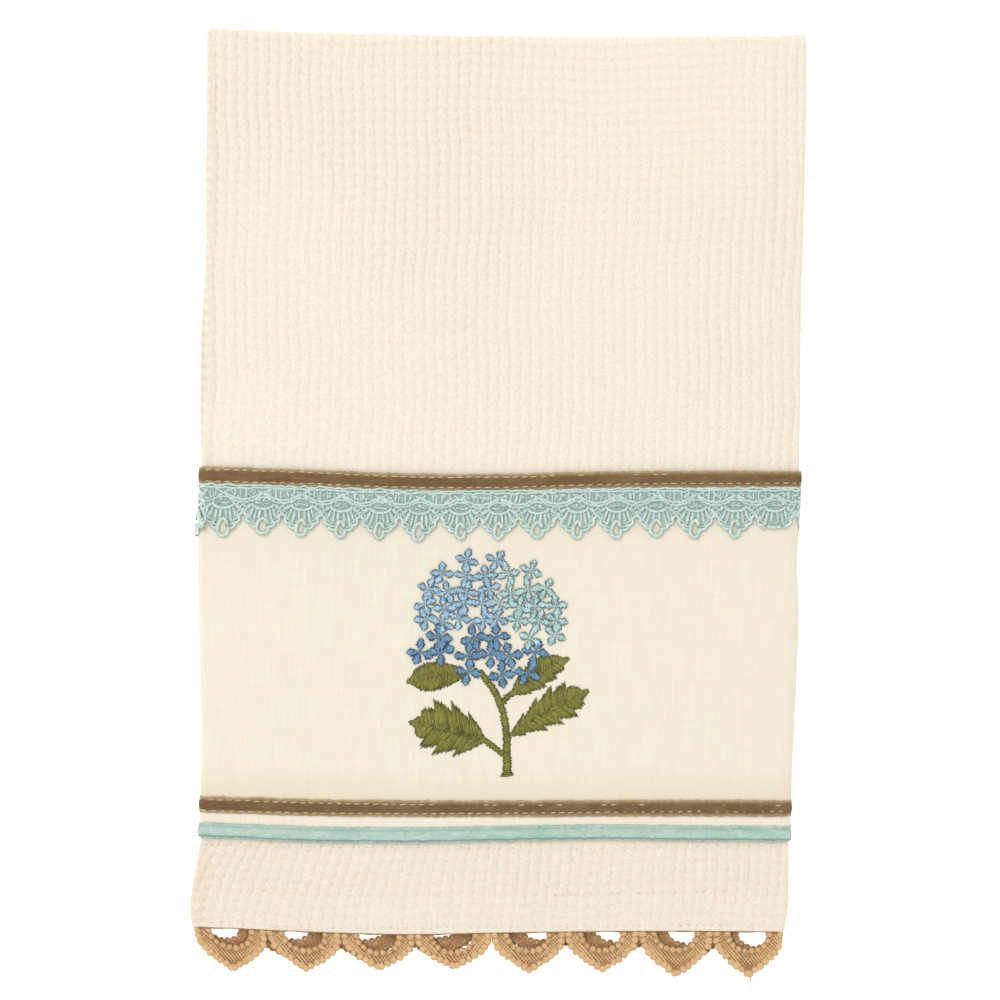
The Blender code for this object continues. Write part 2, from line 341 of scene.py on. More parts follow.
def smooth_path(points, count):
    """COUNT evenly spaced points on a smooth curve through a few."""
    points = np.asarray(points, float)
    stations = run_lengths(points)
    slopes = np.gradient(points, stations, axis=0)
    at = np.linspace(0.0, stations[-1], count)
    n = np.clip(np.searchsorted(stations, at, side="right") - 1, 0, len(stations) - 2)
    step = (stations[n + 1] - stations[n])[:, None]
    t = (at - stations[n])[:, None] / step
    bend = t * (1 - t) ** 2 * slopes[n] * step - t * t * (1 - t) * slopes[n + 1] * step
    return points[n] + t * t * (3 - 2 * t) * (points[n + 1] - points[n]) + bend


CORD_SIDES = 6
CORD_END = 0.25  # how thick a cord's ends are


def cord(path, radius, sides=CORD_SIDES, loop=False, tone=None):
    """A round cord along points given as (across, down, proud)."""
    path = np.asarray(path, float)
    if loop:
        steps = np.roll(path, -1, axis=0) - np.roll(path, 1, axis=0)
    else:
        steps = np.gradient(path, axis=0)
    beside = np.column_stack([sideways(steps), np.zeros(len(path))])
    turn = -TURN * np.arange(sides) / sides
    girth = np.full(len(path), radius)
    if not loop:
        girth[[0, -1]] *= CORD_END
    flat = path[:, None, :] + girth[:, None, None] * np.cos(turn)[None, :, None] * beside[:, None, :]
    flat[:, :, 2] += girth[:, None] * np.sin(turn)[None, :]
    thread = np.empty(flat.shape)
    thread[:, :, 0] = run_lengths(path)[:, None] / MM
    thread[:, :, 1] = np.arange(sides) / sides
    thread[:, :, 2] = chance.random() if tone is None else tone
    faces = grid_faces(len(path), sides, ring=True, loop=loop)
    return Shape(flat.reshape(-1, 3), faces, thread.reshape(-1, 3))


BEAD_RINGS = 5
BEAD_SIDES = 9


def bead(centre, along, beside, height, heading=0.0):
    """A rounded knob, ALONG and BESIDE being its half-lengths in the cloth's plane."""
    rise = np.linspace(-0.5, 0.5, BEAD_RINGS + 2)[1:-1] * np.pi
    turn = TURN * np.arange(BEAD_SIDES) / BEAD_SIDES
    ring = np.cos(rise)[:, None]
    local_x = along * ring * np.cos(turn)
    local_y = beside * ring * np.sin(turn)
    flat = np.empty((BEAD_RINGS, BEAD_SIDES, 3))
    flat[:, :, 0] = centre[0] + local_x * math.cos(heading) - local_y * math.sin(heading)
    flat[:, :, 1] = centre[1] + local_x * math.sin(heading) + local_y * math.cos(heading)
    flat[:, :, 2] = centre[2] + height * np.sin(rise)[:, None]
    points = np.concatenate([flat.reshape(-1, 3), [np.array(centre) + [0, 0, height]]])
    faces = grid_faces(BEAD_RINGS, BEAD_SIDES, ring=True)[:, ::-1]
    last = (BEAD_RINGS - 1) * BEAD_SIDES + np.arange(BEAD_SIDES)
    crown = np.full(BEAD_SIDES, len(points) - 1)
    top = np.stack([last, np.roll(last, -1), crown, crown], axis=1)
    thread = np.empty((len(points), 3))
    thread[:, 0] = (points[:, 1] - centre[1]) / MM
    thread[:, 1] = (points[:, 0] - centre[0]) / MM
    thread[:, 2] = chance.random()
    return Shape(points, np.concatenate([faces, top]), thread)


THREAD_SEGMENTS = 4
THREAD_SECTION = ((-0.5, 0.0), (-0.28, 0.8), (0.28, 0.8), (0.5, 0.0))  # shares of width and height


def stitches(starts, ends, width, height, base, arch, tone=0.5):
    """Stitches of thread laid on the cloth, from STARTS to ENDS, each bowed up by ARCH."""
    starts, ends = np.asarray(starts, float), np.asarray(ends, float)
    count = len(starts)
    run = ends - starts
    t = np.linspace(0.0, 1.0, THREAD_SEGMENTS + 1)
    bow = np.sqrt(np.maximum(4 * t * (1 - t), 0.0))
    section = np.array(THREAD_SECTION)
    width, base, arch = [np.broadcast_to(value, (count,)) for value in (width, base, arch)]
    spread = width[:, None, None] * (0.6 + 0.4 * bow)[None, :, None] * section[None, None, :, 0]
    plan = starts[:, None, :] + run[:, None, :] * t[None, :, None]
    plan = plan[:, :, None, :] + sideways(run)[:, None, None, :] * spread[..., None]
    raised = base[:, None, None] + arch[:, None, None] * bow[None, :, None]
    raised = raised + height * section[None, None, :, 1] * (0.4 + 0.6 * bow)[None, :, None]
    flat = np.concatenate([plan, np.broadcast_to(raised[..., None], plan.shape[:3] + (1,))], axis=-1)
    thread = np.empty(flat.shape)
    thread[..., 0] = bow[None, :, None]
    thread[..., 1] = section[None, None, :, 0]
    thread[..., 2] = np.broadcast_to(tone, (count,))[:, None, None]
    one = grid_faces(THREAD_SEGMENTS + 1, len(THREAD_SECTION))
    each = (THREAD_SEGMENTS + 1) * len(THREAD_SECTION)
    faces = (one[None] + each * np.arange(count)[:, None, None]).reshape(-1, 4)
    return Shape(flat.reshape(-1, 3), faces, thread.reshape(-1, 3))


# ---------------------------------------------------------------------------------------------------
# Materials

LIGHT = 1.42  # how bright the studio's light makes a white surface


def shade(red, green, blue):
    """The shader's colour for cloth that is to look like this screen colour, 0 to 255."""
    shares = [value / 255 for value in (red, green, blue)]
    linear = [s / 12.92 if s <= 0.04045 else ((s + 0.055) / 1.055) ** 2.4 for s in shares]
    return [value / LIGHT for value in linear] + [1.0]


class Value:
    """A node's output.  Arithmetic on it adds the nodes that work it out."""

    def __init__(self, look, socket):
        self.look = look
        self.socket = socket

    def __add__(self, other):
        return self.look.maths("ADD", self, other)

    def __sub__(self, other):
        return self.look.maths("SUBTRACT", self, other)

    def __rsub__(self, other):
        return self.look.maths("SUBTRACT", other, self)

    def __mul__(self, other):
        return self.look.maths("MULTIPLY", self, other)

    def __truediv__(self, other):
        return self.look.maths("DIVIDE", self, other)

    def __abs__(self):
        return self.look.maths("ABSOLUTE", self)


class Look:
    """A fabric material under construction, with short ways to add its nodes."""

    def __init__(self, name, roughness, sheen=0.0, sheen_roughness=0.5, specular=0.2):
        self.material = bpy.data.materials.new(name)
        self.material.use_nodes = True
        self.tree = self.material.node_tree
        self.shader = self.tree.nodes["Principled BSDF"]
        self.set("Roughness", roughness)
        self.set("Sheen Weight", sheen)
        self.set("Sheen Roughness", sheen_roughness)
        self.set("Specular IOR Level", specular)
        self.where = self.node("ShaderNodeTexCoord", {}, "Object")  # in metres

    def set(self, socket, value):
        """Sets a uniform value, or joins a node's output, to the shader."""
        self.join(value, self.shader.inputs[socket])

    def join(self, value, socket):
        if isinstance(value, Value):
            self.tree.links.new(value.socket, socket)
        else:
            socket.default_value = value

    def node(self, kind, inputs, output=0, **settings):
        """A new node's output."""
        made = self.tree.nodes.new(kind)
        for setting, value in settings.items():
            setattr(made, setting, value)
        for socket, value in inputs.items():
            self.join(value, made.inputs[socket])
        return Value(self, made.outputs[output])

    def maths(self, operation, *values):
        return self.node("ShaderNodeMath", dict(enumerate(values)), operation=operation)

    def parts(self, vector):
        """A vector's three numbers."""
        made = self.tree.nodes.new("ShaderNodeSeparateXYZ")
        self.join(vector, made.inputs[0])
        return [Value(self, output) for output in made.outputs]

    def attribute(self, name):
        """The three numbers that the mesh keeps at each point under this name."""
        return self.parts(self.node("ShaderNodeAttribute", {}, "Vector", attribute_name=name))

    def noise(self, scale, detail=2.0, roughness=0.5, stretch=None):
        """Noise from 0 to 1, most of it near 0.5."""
        vector = self.where
        if stretch:
            vector = self.node("ShaderNodeMapping", {"Vector": vector, "Scale": stretch})
        inputs = {"Vector": vector, "Scale": scale, "Detail": detail, "Roughness": roughness}
        return self.node("ShaderNodeTexNoise", inputs)

    def span(self, value, low, high, at_low=0.0, at_high=1.0):
        """VALUE moved from one range to another, and kept in it."""
        inputs = {0: value, 1: low, 2: high, 3: at_low, 4: at_high}
        return self.node("ShaderNodeMapRange", inputs, clamp=True)

    def mix(self, share, first, second):
        """Two colours mixed.  Those given as (red, green, blue) are screen colours, 0 to 255."""
        both = [shade(*colour) if isinstance(colour, tuple) else colour for colour in (first, second)]
        return self.node("ShaderNodeMixRGB", {"Fac": share, "Color1": both[0], "Color2": both[1]})

    def tinted(self, colour, *tints):
        """COLOUR with others mixed into it.  Each tint is (value, low, high, share of the tint where
        the value is low, share where it is high, its colour)."""
        for value, low, high, at_low, at_high, tint in tints:
            colour = self.mix(self.span(value, low, high, at_low, at_high), colour, tint)
        return colour

    def wave(self, turns):
        """0 to 1 and back, once for each whole turn, highest at whole numbers."""
        return self.maths("COSINE", turns * TURN) * 0.5 + 0.5

    def finish(self, colour, *relief):
        """Sets the colour, and a bump from layers of (height, millimetres it stands for, strength)."""
        self.set("Base Color", colour)
        normal = None
        for height, distance, strength in relief:
            inputs = {"Height": height, "Distance": distance * MM, "Strength": strength}
            if normal is not None:
                inputs["Normal"] = normal
            normal = self.node("ShaderNodeBump", inputs)
        if normal is not None:
            self.set("Normal", normal)
        return self.material


# Waffle cells: where they start, and how they wander
CELL_ACROSS = 3.57 * MM
CELL_DOWN = 3.74 * MM
CELL_START = -101.2 * MM  # the groove between the first two upright ribs
WAFFLE_DEPTH = 0.34 * MM  # of the mesh's own relief
BEAD_DEPTH = 0.30  # millimetres, of the finer shape that the material adds to it
RIPPLE = 0.06  # how far the grooves wander from side to side round each puffed cell
LEVEL_GROOVE = 0.16  # depth of the level grooves, as a share of the upright ones
YARNS_PER_CELL = 6
STAGGER = 0.37  # from one upright rib to the next, how much further down its cells are
STRIP_SLANT = 0.25  # how far the ribs of the strip below the ribbons lean out at its left
STRIP_TOP = 273.0 * MM
STRIP_BLEND = 4 * MM  # over how far the cloth above it turns into it

# How clearly the upright ribs stand at three heights of the face, from its left to its right
RIB_DOWNS = (22 * MM, 70 * MM, 124 * MM)
RIB_CLARITY = table(
    "x top middle low",
    (-85, 0.86, 0.50, 0.42),
    (-48, 0.72, 0.50, 0.46),
    (-15, 0.82, 0.88, 0.52),
    (28, 0.40, 0.42, 0.54),
    (62, 0.20, 0.50, 0.56),
    (88, 0.54, 0.86, 0.76),
)
STRIP_CLARITY = (0.80, 0.62)  # below the ribbons, at the left and from the middle on


def waffle_cells(across, down):
    """How many cells a point is from the first, across and down, grooves being at whole numbers."""
    lean = STRIP_SLANT * (1 - 0.9 * ease((across + FACE_HALF) / (110 * MM)))
    lean = lean * ease((down - STRIP_TOP) / STRIP_BLEND) * (down - STRIP_TOP)
    u = (across + lean - CELL_START) / CELL_ACROSS
    v = down / CELL_DOWN
    u = u + 0.12 * np.sin(v / 2.9 + 0.4 * np.sin(u / 5.0)) + 0.07 * np.sin(v / 1.1 + u / 3.1)
    v = v + 0.16 * np.sin(u / 3.7 + 1.0) + 0.10 * np.sin(u / 1.3 + v / 4.0)
    return u, v


def crispness(across, down):
    """How clearly the upright ribs stand, 1 being as sharp as they get."""
    stations = column(RIB_CLARITY, "x")
    top, middle, low = [
        soft_interp(across, stations, column(RIB_CLARITY, field), SAG_SOFTNESS) / MM
        for field in ("top", "middle", "low")
    ]
    to_middle = ease((down - RIB_DOWNS[0]) / (RIB_DOWNS[1] - RIB_DOWNS[0]))
    to_low = ease((down - RIB_DOWNS[1]) / (RIB_DOWNS[2] - RIB_DOWNS[1]))
    crisp = top + (middle - top) * to_middle + (low - middle) * to_low
    from_left = ease((across + 80 * MM) / (60 * MM))
    strip = STRIP_CLARITY[0] + (STRIP_CLARITY[1] - STRIP_CLARITY[0]) * from_left
    crisp = crisp + (strip - crisp) * ease((down - STRIP_TOP + STRIP_BLEND) / STRIP_BLEND)
    notch = (across - CELL_START - CELL_ACROSS) / (1.1 * MM)
    return crisp + 0.45 * np.exp(-notch * notch) * ease((down - 8 * MM) / (10 * MM))


def waffle_height(across, down):
    """How high the waffle's puffed cells stand, from 0 in its deepest grooves to 1."""
    u, v = waffle_cells(across, down)
    level = 0.5 + 0.5 * np.cos(TURN * v)
    upright = (0.5 + 0.5 * np.cos(TURN * (u + RIPPLE * np.sin(TURN * v)))) ** 1.3
    return 1 - np.maximum(upright * (0.75 + 0.25 * level), LEVEL_GROOVE * level)


def waffle_look():
    """Ivory waffle cloth: puffed ribs between beaded grooves, with painted light on the ribs and painted
    shade in the grooves, single yarns, and soft fuzz.
    """
    look = Look("waffle_cotton", 0.92, sheen=0.05)
    u, v, crisp = look.attribute("thread")
    x, y, _ = look.parts(look.where)
    jitter = look.noise(330.0) * 0.5 - 0.25
    wavy_u = u + look.maths("SINE", v * TURN) * RIPPLE + jitter * 0.4
    wavy_v = v + look.maths("FLOOR", u + 0.5) * STAGGER + jitter
    off = look.maths("PINGPONG", wavy_u, 0.5)
    through = look.maths("FRACT", wavy_u)
    bead_wave = look.wave(wavy_v)
    patches = look.noise(30.0, 3.0)
    blots = look.noise(1250.0, 2.0, 0.6)
    tints = look.noise(620.0, 3.0, 0.6, stretch=(1.0, 0.7, 1.0))
    fuzz = look.noise(1700.0, 4.0, 0.7)

    # Painted light and shade: ribs lit on their left and shaded on their right, with dark dashes of painted
    # shade in the grooves between them
    lit = look.span(through, 0.12, 0.34, 1.0, 0.0) * crisp
    dash = look.span(off, 0.03, 0.20, 1.0, 0.0) * look.span(bead_wave, 0.1, 0.8, 0.30, 1.0)
    shown = crisp * look.span(patches, 0.35, 0.65, 0.7, 1.3)
    sunk_and_shade = (dash * 0.34 + look.span(through, 0.25, 0.92) * 0.20) * shown

    # Level grooves, deeper near the top fold, and in the strip, as painted shade and in the bump alike
    rows_at = look.span(x, -90 * MM, 30 * MM, 0.6, 1.0) * look.span(x, 70 * MM, 90 * MM, 1.0, 0.5)
    high = look.span(y, 60 * MM, 130 * MM) * rows_at
    in_strip = look.span(y, -117 * MM, -113 * MM, 1.0, 0.0)
    level = look.span(look.wave(v + jitter * 0.5), 0.45, 1.0)
    sunk_and_shade = sunk_and_shade + level * look.maths("MAXIMUM", high * 0.10 + 0.03, in_strip * 0.09)

    # Painted shade in the notches beside the left fold, where the cloth rounds away
    at_fold = look.span(x, -100.5 * MM, -96.5 * MM, 1.0, 0.0) * look.span(y, 10 * MM, 60 * MM, 0.4, 1.0)
    notch_shade = at_fold * look.span(bead_wave, 0.3, 0.7, 0.12, 0.42)

    colour = look.tinted(
        look.mix(in_strip, (249, 241, 224), (248, 236, 218)),
        (crisp, 0.40, 1.0, 0.0, 0.26, (240, 224, 198)),
        # Painted highlight on the ribs' left flanks, and painted shade in the grooves and on the ribs' right
        # sides
        (lit, 0.0, 1.0, 0.0, 0.30, (254, 248, 234)),
        (sunk_and_shade, 0.0, 1.0, 0.0, 1.0, (212, 192, 162)),
        (tints, 0.48, 0.60, 0.0, 0.42, (252, 231, 208)),
        (tints, 0.38, 0.50, 0.38, 0.0, (240, 238, 214)),
        (blots, 0.50, 0.64, 0.0, 0.42, (255, 249, 238)),
        (blots, 0.34, 0.48, 0.40, 0.0, (234, 219, 196)),
        (fuzz, 0.58, 0.72, 0.0, 0.40, (224, 208, 182)),
        # Painted shade by the left fold
        (notch_shade, 0.0, 1.0, 0.0, 1.0, (214, 194, 164)),
    )
    yarns = [look.wave(cells * YARNS_PER_CELL) for cells in (v, u)]
    weave = look.mix(look.span(off, 0.1, 0.3), *yarns)
    return look.finish(
        colour, (1.0 - sunk_and_shade, BEAD_DEPTH, 0.8), (blots, 0.20, 0.6), (weave, 0.10, 0.5), (fuzz, 0.14, 0.7)
    )


def linen_look():
    """The panel's plain weave, with slubs along its upright yarns, painted shade in the gaps between them,
    and painted shade below the aqua lace and along the lower ribbon.
    """
    look = Look("plain_weave_cotton", 0.9, sheen=0.05)
    across, down, _ = look.attribute("thread")
    gaps = look.wave(across / 0.80) * look.wave(down / 0.62)
    slubs = look.noise(1300.0, stretch=(1.0, 0.06, 1.0))
    picks = look.noise(1300.0, stretch=(0.06, 1.0, 1.0))
    fuzz = look.noise(2400.0, 3.0, 0.7)
    patches = look.noise(25.0)
    lower_ribbon_shade = look.span(down, 248.0, 259.5) * look.span(down, 261.0, 265.0, 0.7, 0.0)
    colour = look.tinted(
        (246, 240, 223),
        (slubs, 0.35, 0.65, 0.0, 1.0, (241, 232, 212)),
        (picks, 0.38, 0.62, 0.0, 0.6, (239, 231, 213)),
        (patches, 0.35, 0.65, 0.0, 0.3, (244, 234, 214)),
        # Painted shade on the panel just below the aqua lace
        (down, 168.0, 178.0, 0.35, 0.0, (234, 226, 206)),
        # Painted shade growing towards the lower ribbon's upper edge
        (lower_ribbon_shade, 0.0, 1.0, 0.0, 1.0, (232, 218, 190)),
        # Painted shade in the gaps between the yarns
        (gaps, 0.5, 1.0, 0.0, 0.22, (228, 214, 188)),
    )
    return look.finish(colour, (gaps, 0.06, 0.4), (slubs, 0.06, 0.4), (fuzz, 0.07, 0.5))


def velvet_look(name, core, edge, rim, light, glow, pile_and_groove_shade, core_half, lit, lower_groove_shade):
    """Velvet ribbon: deep pile along its middle, paler edges, patches of painted sheen, as much as LIT tells,
    and painted shade in its pile and along its grooves.
    """
    look = Look(name, 0.85, sheen=0.10, sheen_roughness=0.35)
    look.set("Sheen Tint", glow)
    _, share, _ = look.attribute("thread")
    wander = look.noise(900.0, 3.0, 0.7, stretch=(1.0, 0.6, 1.0)) * 0.20 - 0.10
    brushed_pile_and_sheen = look.noise(420.0, 3.0, 0.6, stretch=(0.45, 1.1, 1.0))
    pile = look.noise(1500.0, 3.0, 0.8, stretch=(0.6, 1.0, 1.0))
    broad_sheen = look.noise(75.0, stretch=(0.6, 1.0, 1.0))
    off_middle = abs(share) + wander
    colour = look.tinted(
        core,
        (off_middle, core_half - 0.06, core_half + 0.08, 0.0, 1.0, edge),
        (off_middle, core_half + 0.08, 0.48, 0.0, 1.0, rim),
        # Painted sheen, in brushed and in broad patches
        (brushed_pile_and_sheen, 0.45, 0.60, 0.0, lit, light),
        (broad_sheen, 0.42, 0.62, 0.0, 0.5 * lit, light),
        # Painted shade in the pile, and in lines along the ribbon's grooves
        (pile, 0.50, 0.66, 0.0, 0.45, pile_and_groove_shade),
        (abs(share + wander + 0.30), 0.02, 0.09, 0.35 * lower_groove_shade, 0.0, pile_and_groove_shade),
        (abs(share + wander - 0.37), 0.03, 0.09, lower_groove_shade, 0.0, pile_and_groove_shade),
    )
    return look.finish(colour, (brushed_pile_and_sheen, 0.25, 0.5), (pile, 0.20, 0.9))


def lace_look(name, light, dark, ply):
    """Cotton lace cord: plied strands that wind round it, with painted shade between them, PLY being the
    turn's length in millimetres.
    """
    look = Look(name, 0.8, sheen=0.2)
    along, around, tone = look.attribute("thread")
    strands = look.wave(along / ply + around * 2.0)
    fuzz = look.noise(2200.0, 3.0, 0.7)
    uneven = look.noise(420.0)
    specks = look.noise(950.0)
    colour = look.tinted(
        dark,
        (strands, 0.0, 0.7, 0.45, 1.0, light),
        (uneven, 0.35, 0.65, 0.0, 0.5, dark),
        (tone, 0.0, 1.0, 0.0, 0.25, dark),
        (specks, 0.36, 0.50, 0.6, 0.0, dark),
        (specks, 0.52, 0.66, 0.0, 0.6, (238, 248, 244)),
    )
    return look.finish(colour, (strands, 0.14, 0.8), (fuzz, 0.10, 0.6))


def net_look(name, upper, lower, turn_at, dark):
    """A net of crossed threads, coloured darker as painted shade, changing colour TURN_AT millimetres down.
    """
    look = Look(name, 0.85)
    across, down, _ = look.attribute("thread")
    both = [look.wave(run / 0.75) for run in (across + down, across - down)]
    threads = look.maths("MAXIMUM", *both)
    colour = look.tinted(
        upper,
        (down, turn_at - 1.5, turn_at + 1.5, 0.0, 1.0, lower),
        (look.noise(500.0, 3.0), 0.4, 0.65, 0.0, 0.5, dark),
        (threads, 0.2, 0.8, 0.6, 0.0, dark),
        (look.noise(1100.0), 0.50, 0.62, 0.0, 0.6, (206, 226, 218)),
    )
    return look.finish(colour, (threads, 0.2, 0.8))


def ground_look(name, light, dark):
    """The back of the beige lace, lighter near its rows of knobs, with painted shade along its middle, where
    its holes look darkest.
    """
    look = Look(name, 0.85)
    deep = look.attribute("thread")[2]
    uneven = look.noise(500.0, 3.0)
    tints = (deep, 0.3, 0.95, 0.0, 1.0, dark), (uneven, 0.4, 0.65, 0.0, 0.5, dark)
    return look.finish(look.tinted(light, *tints), (uneven, 0.2, 0.8))


def knob_look(name, light, dark, seam_and_shade):
    """Buttonholed knobs and threads: wound strands with painted shade between them, a painted highlight on
    top, and painted shade low down, where they meet.
    """
    look = Look(name, 0.78, sheen=0.08)
    along, around, tone = look.attribute("thread")
    height = look.attribute("flat")[2]
    strands = look.wave(along / 0.55 + around * 0.6)
    fuzz = look.noise(2000.0, 3.0, 0.7)
    colour = look.tinted(
        dark,
        # Painted highlight on top
        (height, 0.05 * MM, 0.62 * MM, 0.0, 1.0, light),
        (strands, 0.0, 1.0, 0.40, 0.0, dark),
        (look.noise(700.0), 0.38, 0.60, 0.0, 0.55, dark),
        (tone, 0.0, 1.0, 0.0, 0.25, dark),
        (tone, 1.0, 2.0, 0.0, 0.9, seam_and_shade),
        # Painted shade low down, round the feet of the knobs and threads
        (height, -0.15 * MM, 0.28 * MM, 0.8, 0.0, seam_and_shade),
    )
    return look.finish(colour, (strands, 0.12, 0.7), (fuzz, 0.12, 0.6))


def satin_look(name, light, dark, dives=(0.45, 1.0), gloss=0.3):
    """Embroidery thread: a painted highlight where it bows up, and painted shade where it dives into the
    cloth.
    """
    look = Look(name, 0.5, sheen=0.2 * gloss, specular=gloss)
    bow, _, tone = look.attribute("thread")
    fuzz = look.noise(1600.0)
    tints = (bow, *dives, 0.0, 1.0, light), (tone, 0.0, 2.0, 0.0, 0.9, dark), (fuzz, 0.4, 0.7, 0.0, 0.3, dark)
    return look.finish(look.tinted(dark, *tints), (fuzz, 0.08, 0.5))


# ---------------------------------------------------------------------------------------------------
# The waffle cloth

CELL_STEPS = 4  # rows and columns of the mesh to a waffle cell
FOLD_STEPS = 6
RIM_STEPS = 4
FLAP_STEPS = 14
PLAIN_STEP = 5.0 * MM  # between rows where the cloth is covered or hidden
TUCK = 6.0 * MM  # how far the surface goes on behind a cut edge

Station = namedtuple("Station", "at level")  # LEVEL: 1 on the outer side of the cloth, -1 on the inner


def with_rims(*stretches):
    """Stations on the outer side, with those that carry the surface round both cut edges and behind."""
    middle = np.concatenate(stretches)
    turns = [math.pi * step / RIM_STEPS for step in range(1, RIM_STEPS + 1)]
    rims = []
    for edge, outward in ((middle[0], -1), (middle[-1], 1)):
        rims.append([Station(edge + outward * CLOTH / 2 * math.sin(turn), math.cos(turn)) for turn in turns])
        rims[-1].append(Station(edge - outward * TUCK, -1.0))
    return rims[0][::-1] + [Station(at, 1.0) for at in middle] + rims[1]


def flap_ends(inset):
    """The places across that lie INSET inside the left flap's edge and the right one's."""
    return -FOLD - LEFT_FLAP + inset, FOLD + RIGHT_FLAP - inset


def across_all(inset, flap_steps, fold_steps, face_steps):
    """Places across from one flap's end to the other's, in even steps on each flap, fold and face."""
    left_end, right_end = flap_ends(inset)
    stretches = [
        np.linspace(left_end, -FOLD, flap_steps + 1)[:-1],
        np.linspace(-FOLD, -FACE_HALF, fold_steps + 1)[:-1],
        np.linspace(-FACE_HALF, FACE_HALF, face_steps + 1),
        np.linspace(FACE_HALF, FOLD, fold_steps + 1)[1:],
        np.linspace(FOLD, right_end, flap_steps + 1)[1:],
    ]
    return np.concatenate(stretches)


def cloth_columns():
    """Stations across, from the left flap's edge to the right one's."""
    face_steps = round(2 * FACE_HALF / CELL_ACROSS * CELL_STEPS)
    return with_rims(across_all(CLOTH / 2, FLAP_STEPS, FOLD_STEPS, face_steps))


def cloth_rows():
    """Stations down, from the back half's hem over the top fold to the front one's."""
    fine = CELL_DOWN / CELL_STEPS
    upper = np.arange(TOP_REACH + fine, UPPER_RIBBON.top + 2 * fine, fine)
    return with_rims(
        np.arange(-BACK_LENGTH + CLOTH / 2, -TOP_REACH, PLAIN_STEP),
        np.linspace(-TOP_REACH, TOP_REACH, 11),
        upper,
        np.arange(upper[-1] + PLAIN_STEP, AQUA_RIBBON.bottom - PLAIN_STEP, PLAIN_STEP),
        np.arange(AQUA_RIBBON.bottom - 2 * fine, FRONT_LENGTH - CLOTH / 2, fine),
    )


HEM_STITCH_UP = 2.4 * MM  # the hem's row of stitches, above the edge
HEM_STITCH_PITCH = 2.75 * MM
HEM_DEPTH = 13.0 * MM  # how far up the hem's turned-in edge lies
HEM_STEP = 0.12 * MM  # how far it presses the surface out


def hem_relief(across, down):
    """How far the hem's stitches and turned edge press the surface in or out."""
    up = FRONT_LENGTH - down
    row = np.exp(-(((up - HEM_STITCH_UP) / (0.55 * MM)) ** 2))
    hole = (0.5 + 0.5 * np.cos(TURN * across / HEM_STITCH_PITCH)) ** 2
    step = ease((HEM_DEPTH - up) / (1.0 * MM)) * HEM_STEP
    return step - row * (0.08 + 0.22 * hole) * MM


def waffle_towel():
    """The whole cloth, its relief only where it can be seen."""
    columns, rows = cloth_columns(), cloth_rows()
    across, down = np.meshgrid([c.at for c in columns], [r.at for r in rows])
    level = np.minimum(*np.meshgrid([c.level for c in columns], [r.level for r in rows]))
    shown = ease((FACE_HALF + SIDE_ARC * 0.9 - np.abs(across)) / (1.0 * MM))
    shown = shown * ease((down + TOP_REACH) / TOP_REACH)
    hidden = ease((down - UPPER_RIBBON.top) / (2 * MM)) * ease((AQUA_RIBBON.bottom - down) / (2 * MM))
    shown = shown * (1 - hidden)
    flatter = 1 - 0.35 * ease((HEM_DEPTH - (FRONT_LENGTH - down)) / (2 * MM))
    crisp = crispness(across, down) * flatter * shown
    relief = (waffle_height(across, down) - 1) * WAFFLE_DEPTH * crisp
    relief = relief + hem_relief(across, down) * shown * (level > 0)
    shape = grid_shape(across, down, CLOTH / 2 * level + relief, (*waffle_cells(across, down), crisp))
    return piece("waffle_towel", shape, waffle_look(), ["towel_cloth"])


# Rows of stitches sunk in the waffle cloth, in millimetres.  SHOWN is the share that can be seen.
HEM_ROWS = table(
    "down left right pitch length shown",
    (303.0, -99.5, 99.5, 2.75, 0.9, 0.8),
    (291.5, 22.0, 82.0, 2.4, 0.5, 0.7),
    (275.8, -99.0, 99.0, 2.2, 0.6, 0.6),
)


def together(pairs):
    """The starts and the ends of several groups of threads."""
    return [np.concatenate([pair[n] for pair in pairs]) for n in range(2)]


def hem_stitches():
    """Short level stitches, some of them lost in the cloth."""
    pairs = []
    for row in HEM_ROWS:
        at = np.arange(row.left, row.right, row.pitch)
        at = at[chance.random(len(at)) < row.shown]
        at = at + chance.normal(0, 0.2, len(at))
        half = row.length / 2 * chance.uniform(0.6, 1.3, len(at))
        down = row.down + 0.25 * np.sin(at / 17.0) + chance.normal(0, 0.12, len(at))
        pairs.append([np.stack([at + end * half, down], axis=1) * MM for end in (-1, 1)])
    starts, ends = together(pairs)
    tone = chance.random(len(starts))
    shape = stitches(starts, ends, 0.40 * MM, 0.08 * MM, CLOTH / 2 - 0.12 * MM, 0.13 * MM, tone)
    look = satin_look("hem_thread", (232, 216, 190), (208, 188, 158))
    return piece("hem_stitches", shape, look)


# ---------------------------------------------------------------------------------------------------
# The panel and the ribbons

PANEL_CLOTH = 0.5 * MM
PANEL_FACE = PANEL_PROUD + PANEL_CLOTH / 2  # the panel's outer surface
PANEL_STEP = 2.0 * MM
PANEL_ROWS = 62
RIPPLES = 0.035 * MM  # height of the panel's fine ripples
TRIM_FLAP_STEPS = 11
TRIM_FOLD_STEPS = 7


def trim_columns(face_step, inset=TRIM_END_INSET):
    """Places across for a trim's points, FACE_STEP apart on the face."""
    return across_all(inset, TRIM_FLAP_STEPS, TRIM_FOLD_STEPS, round(2 * FACE_HALF / face_step))


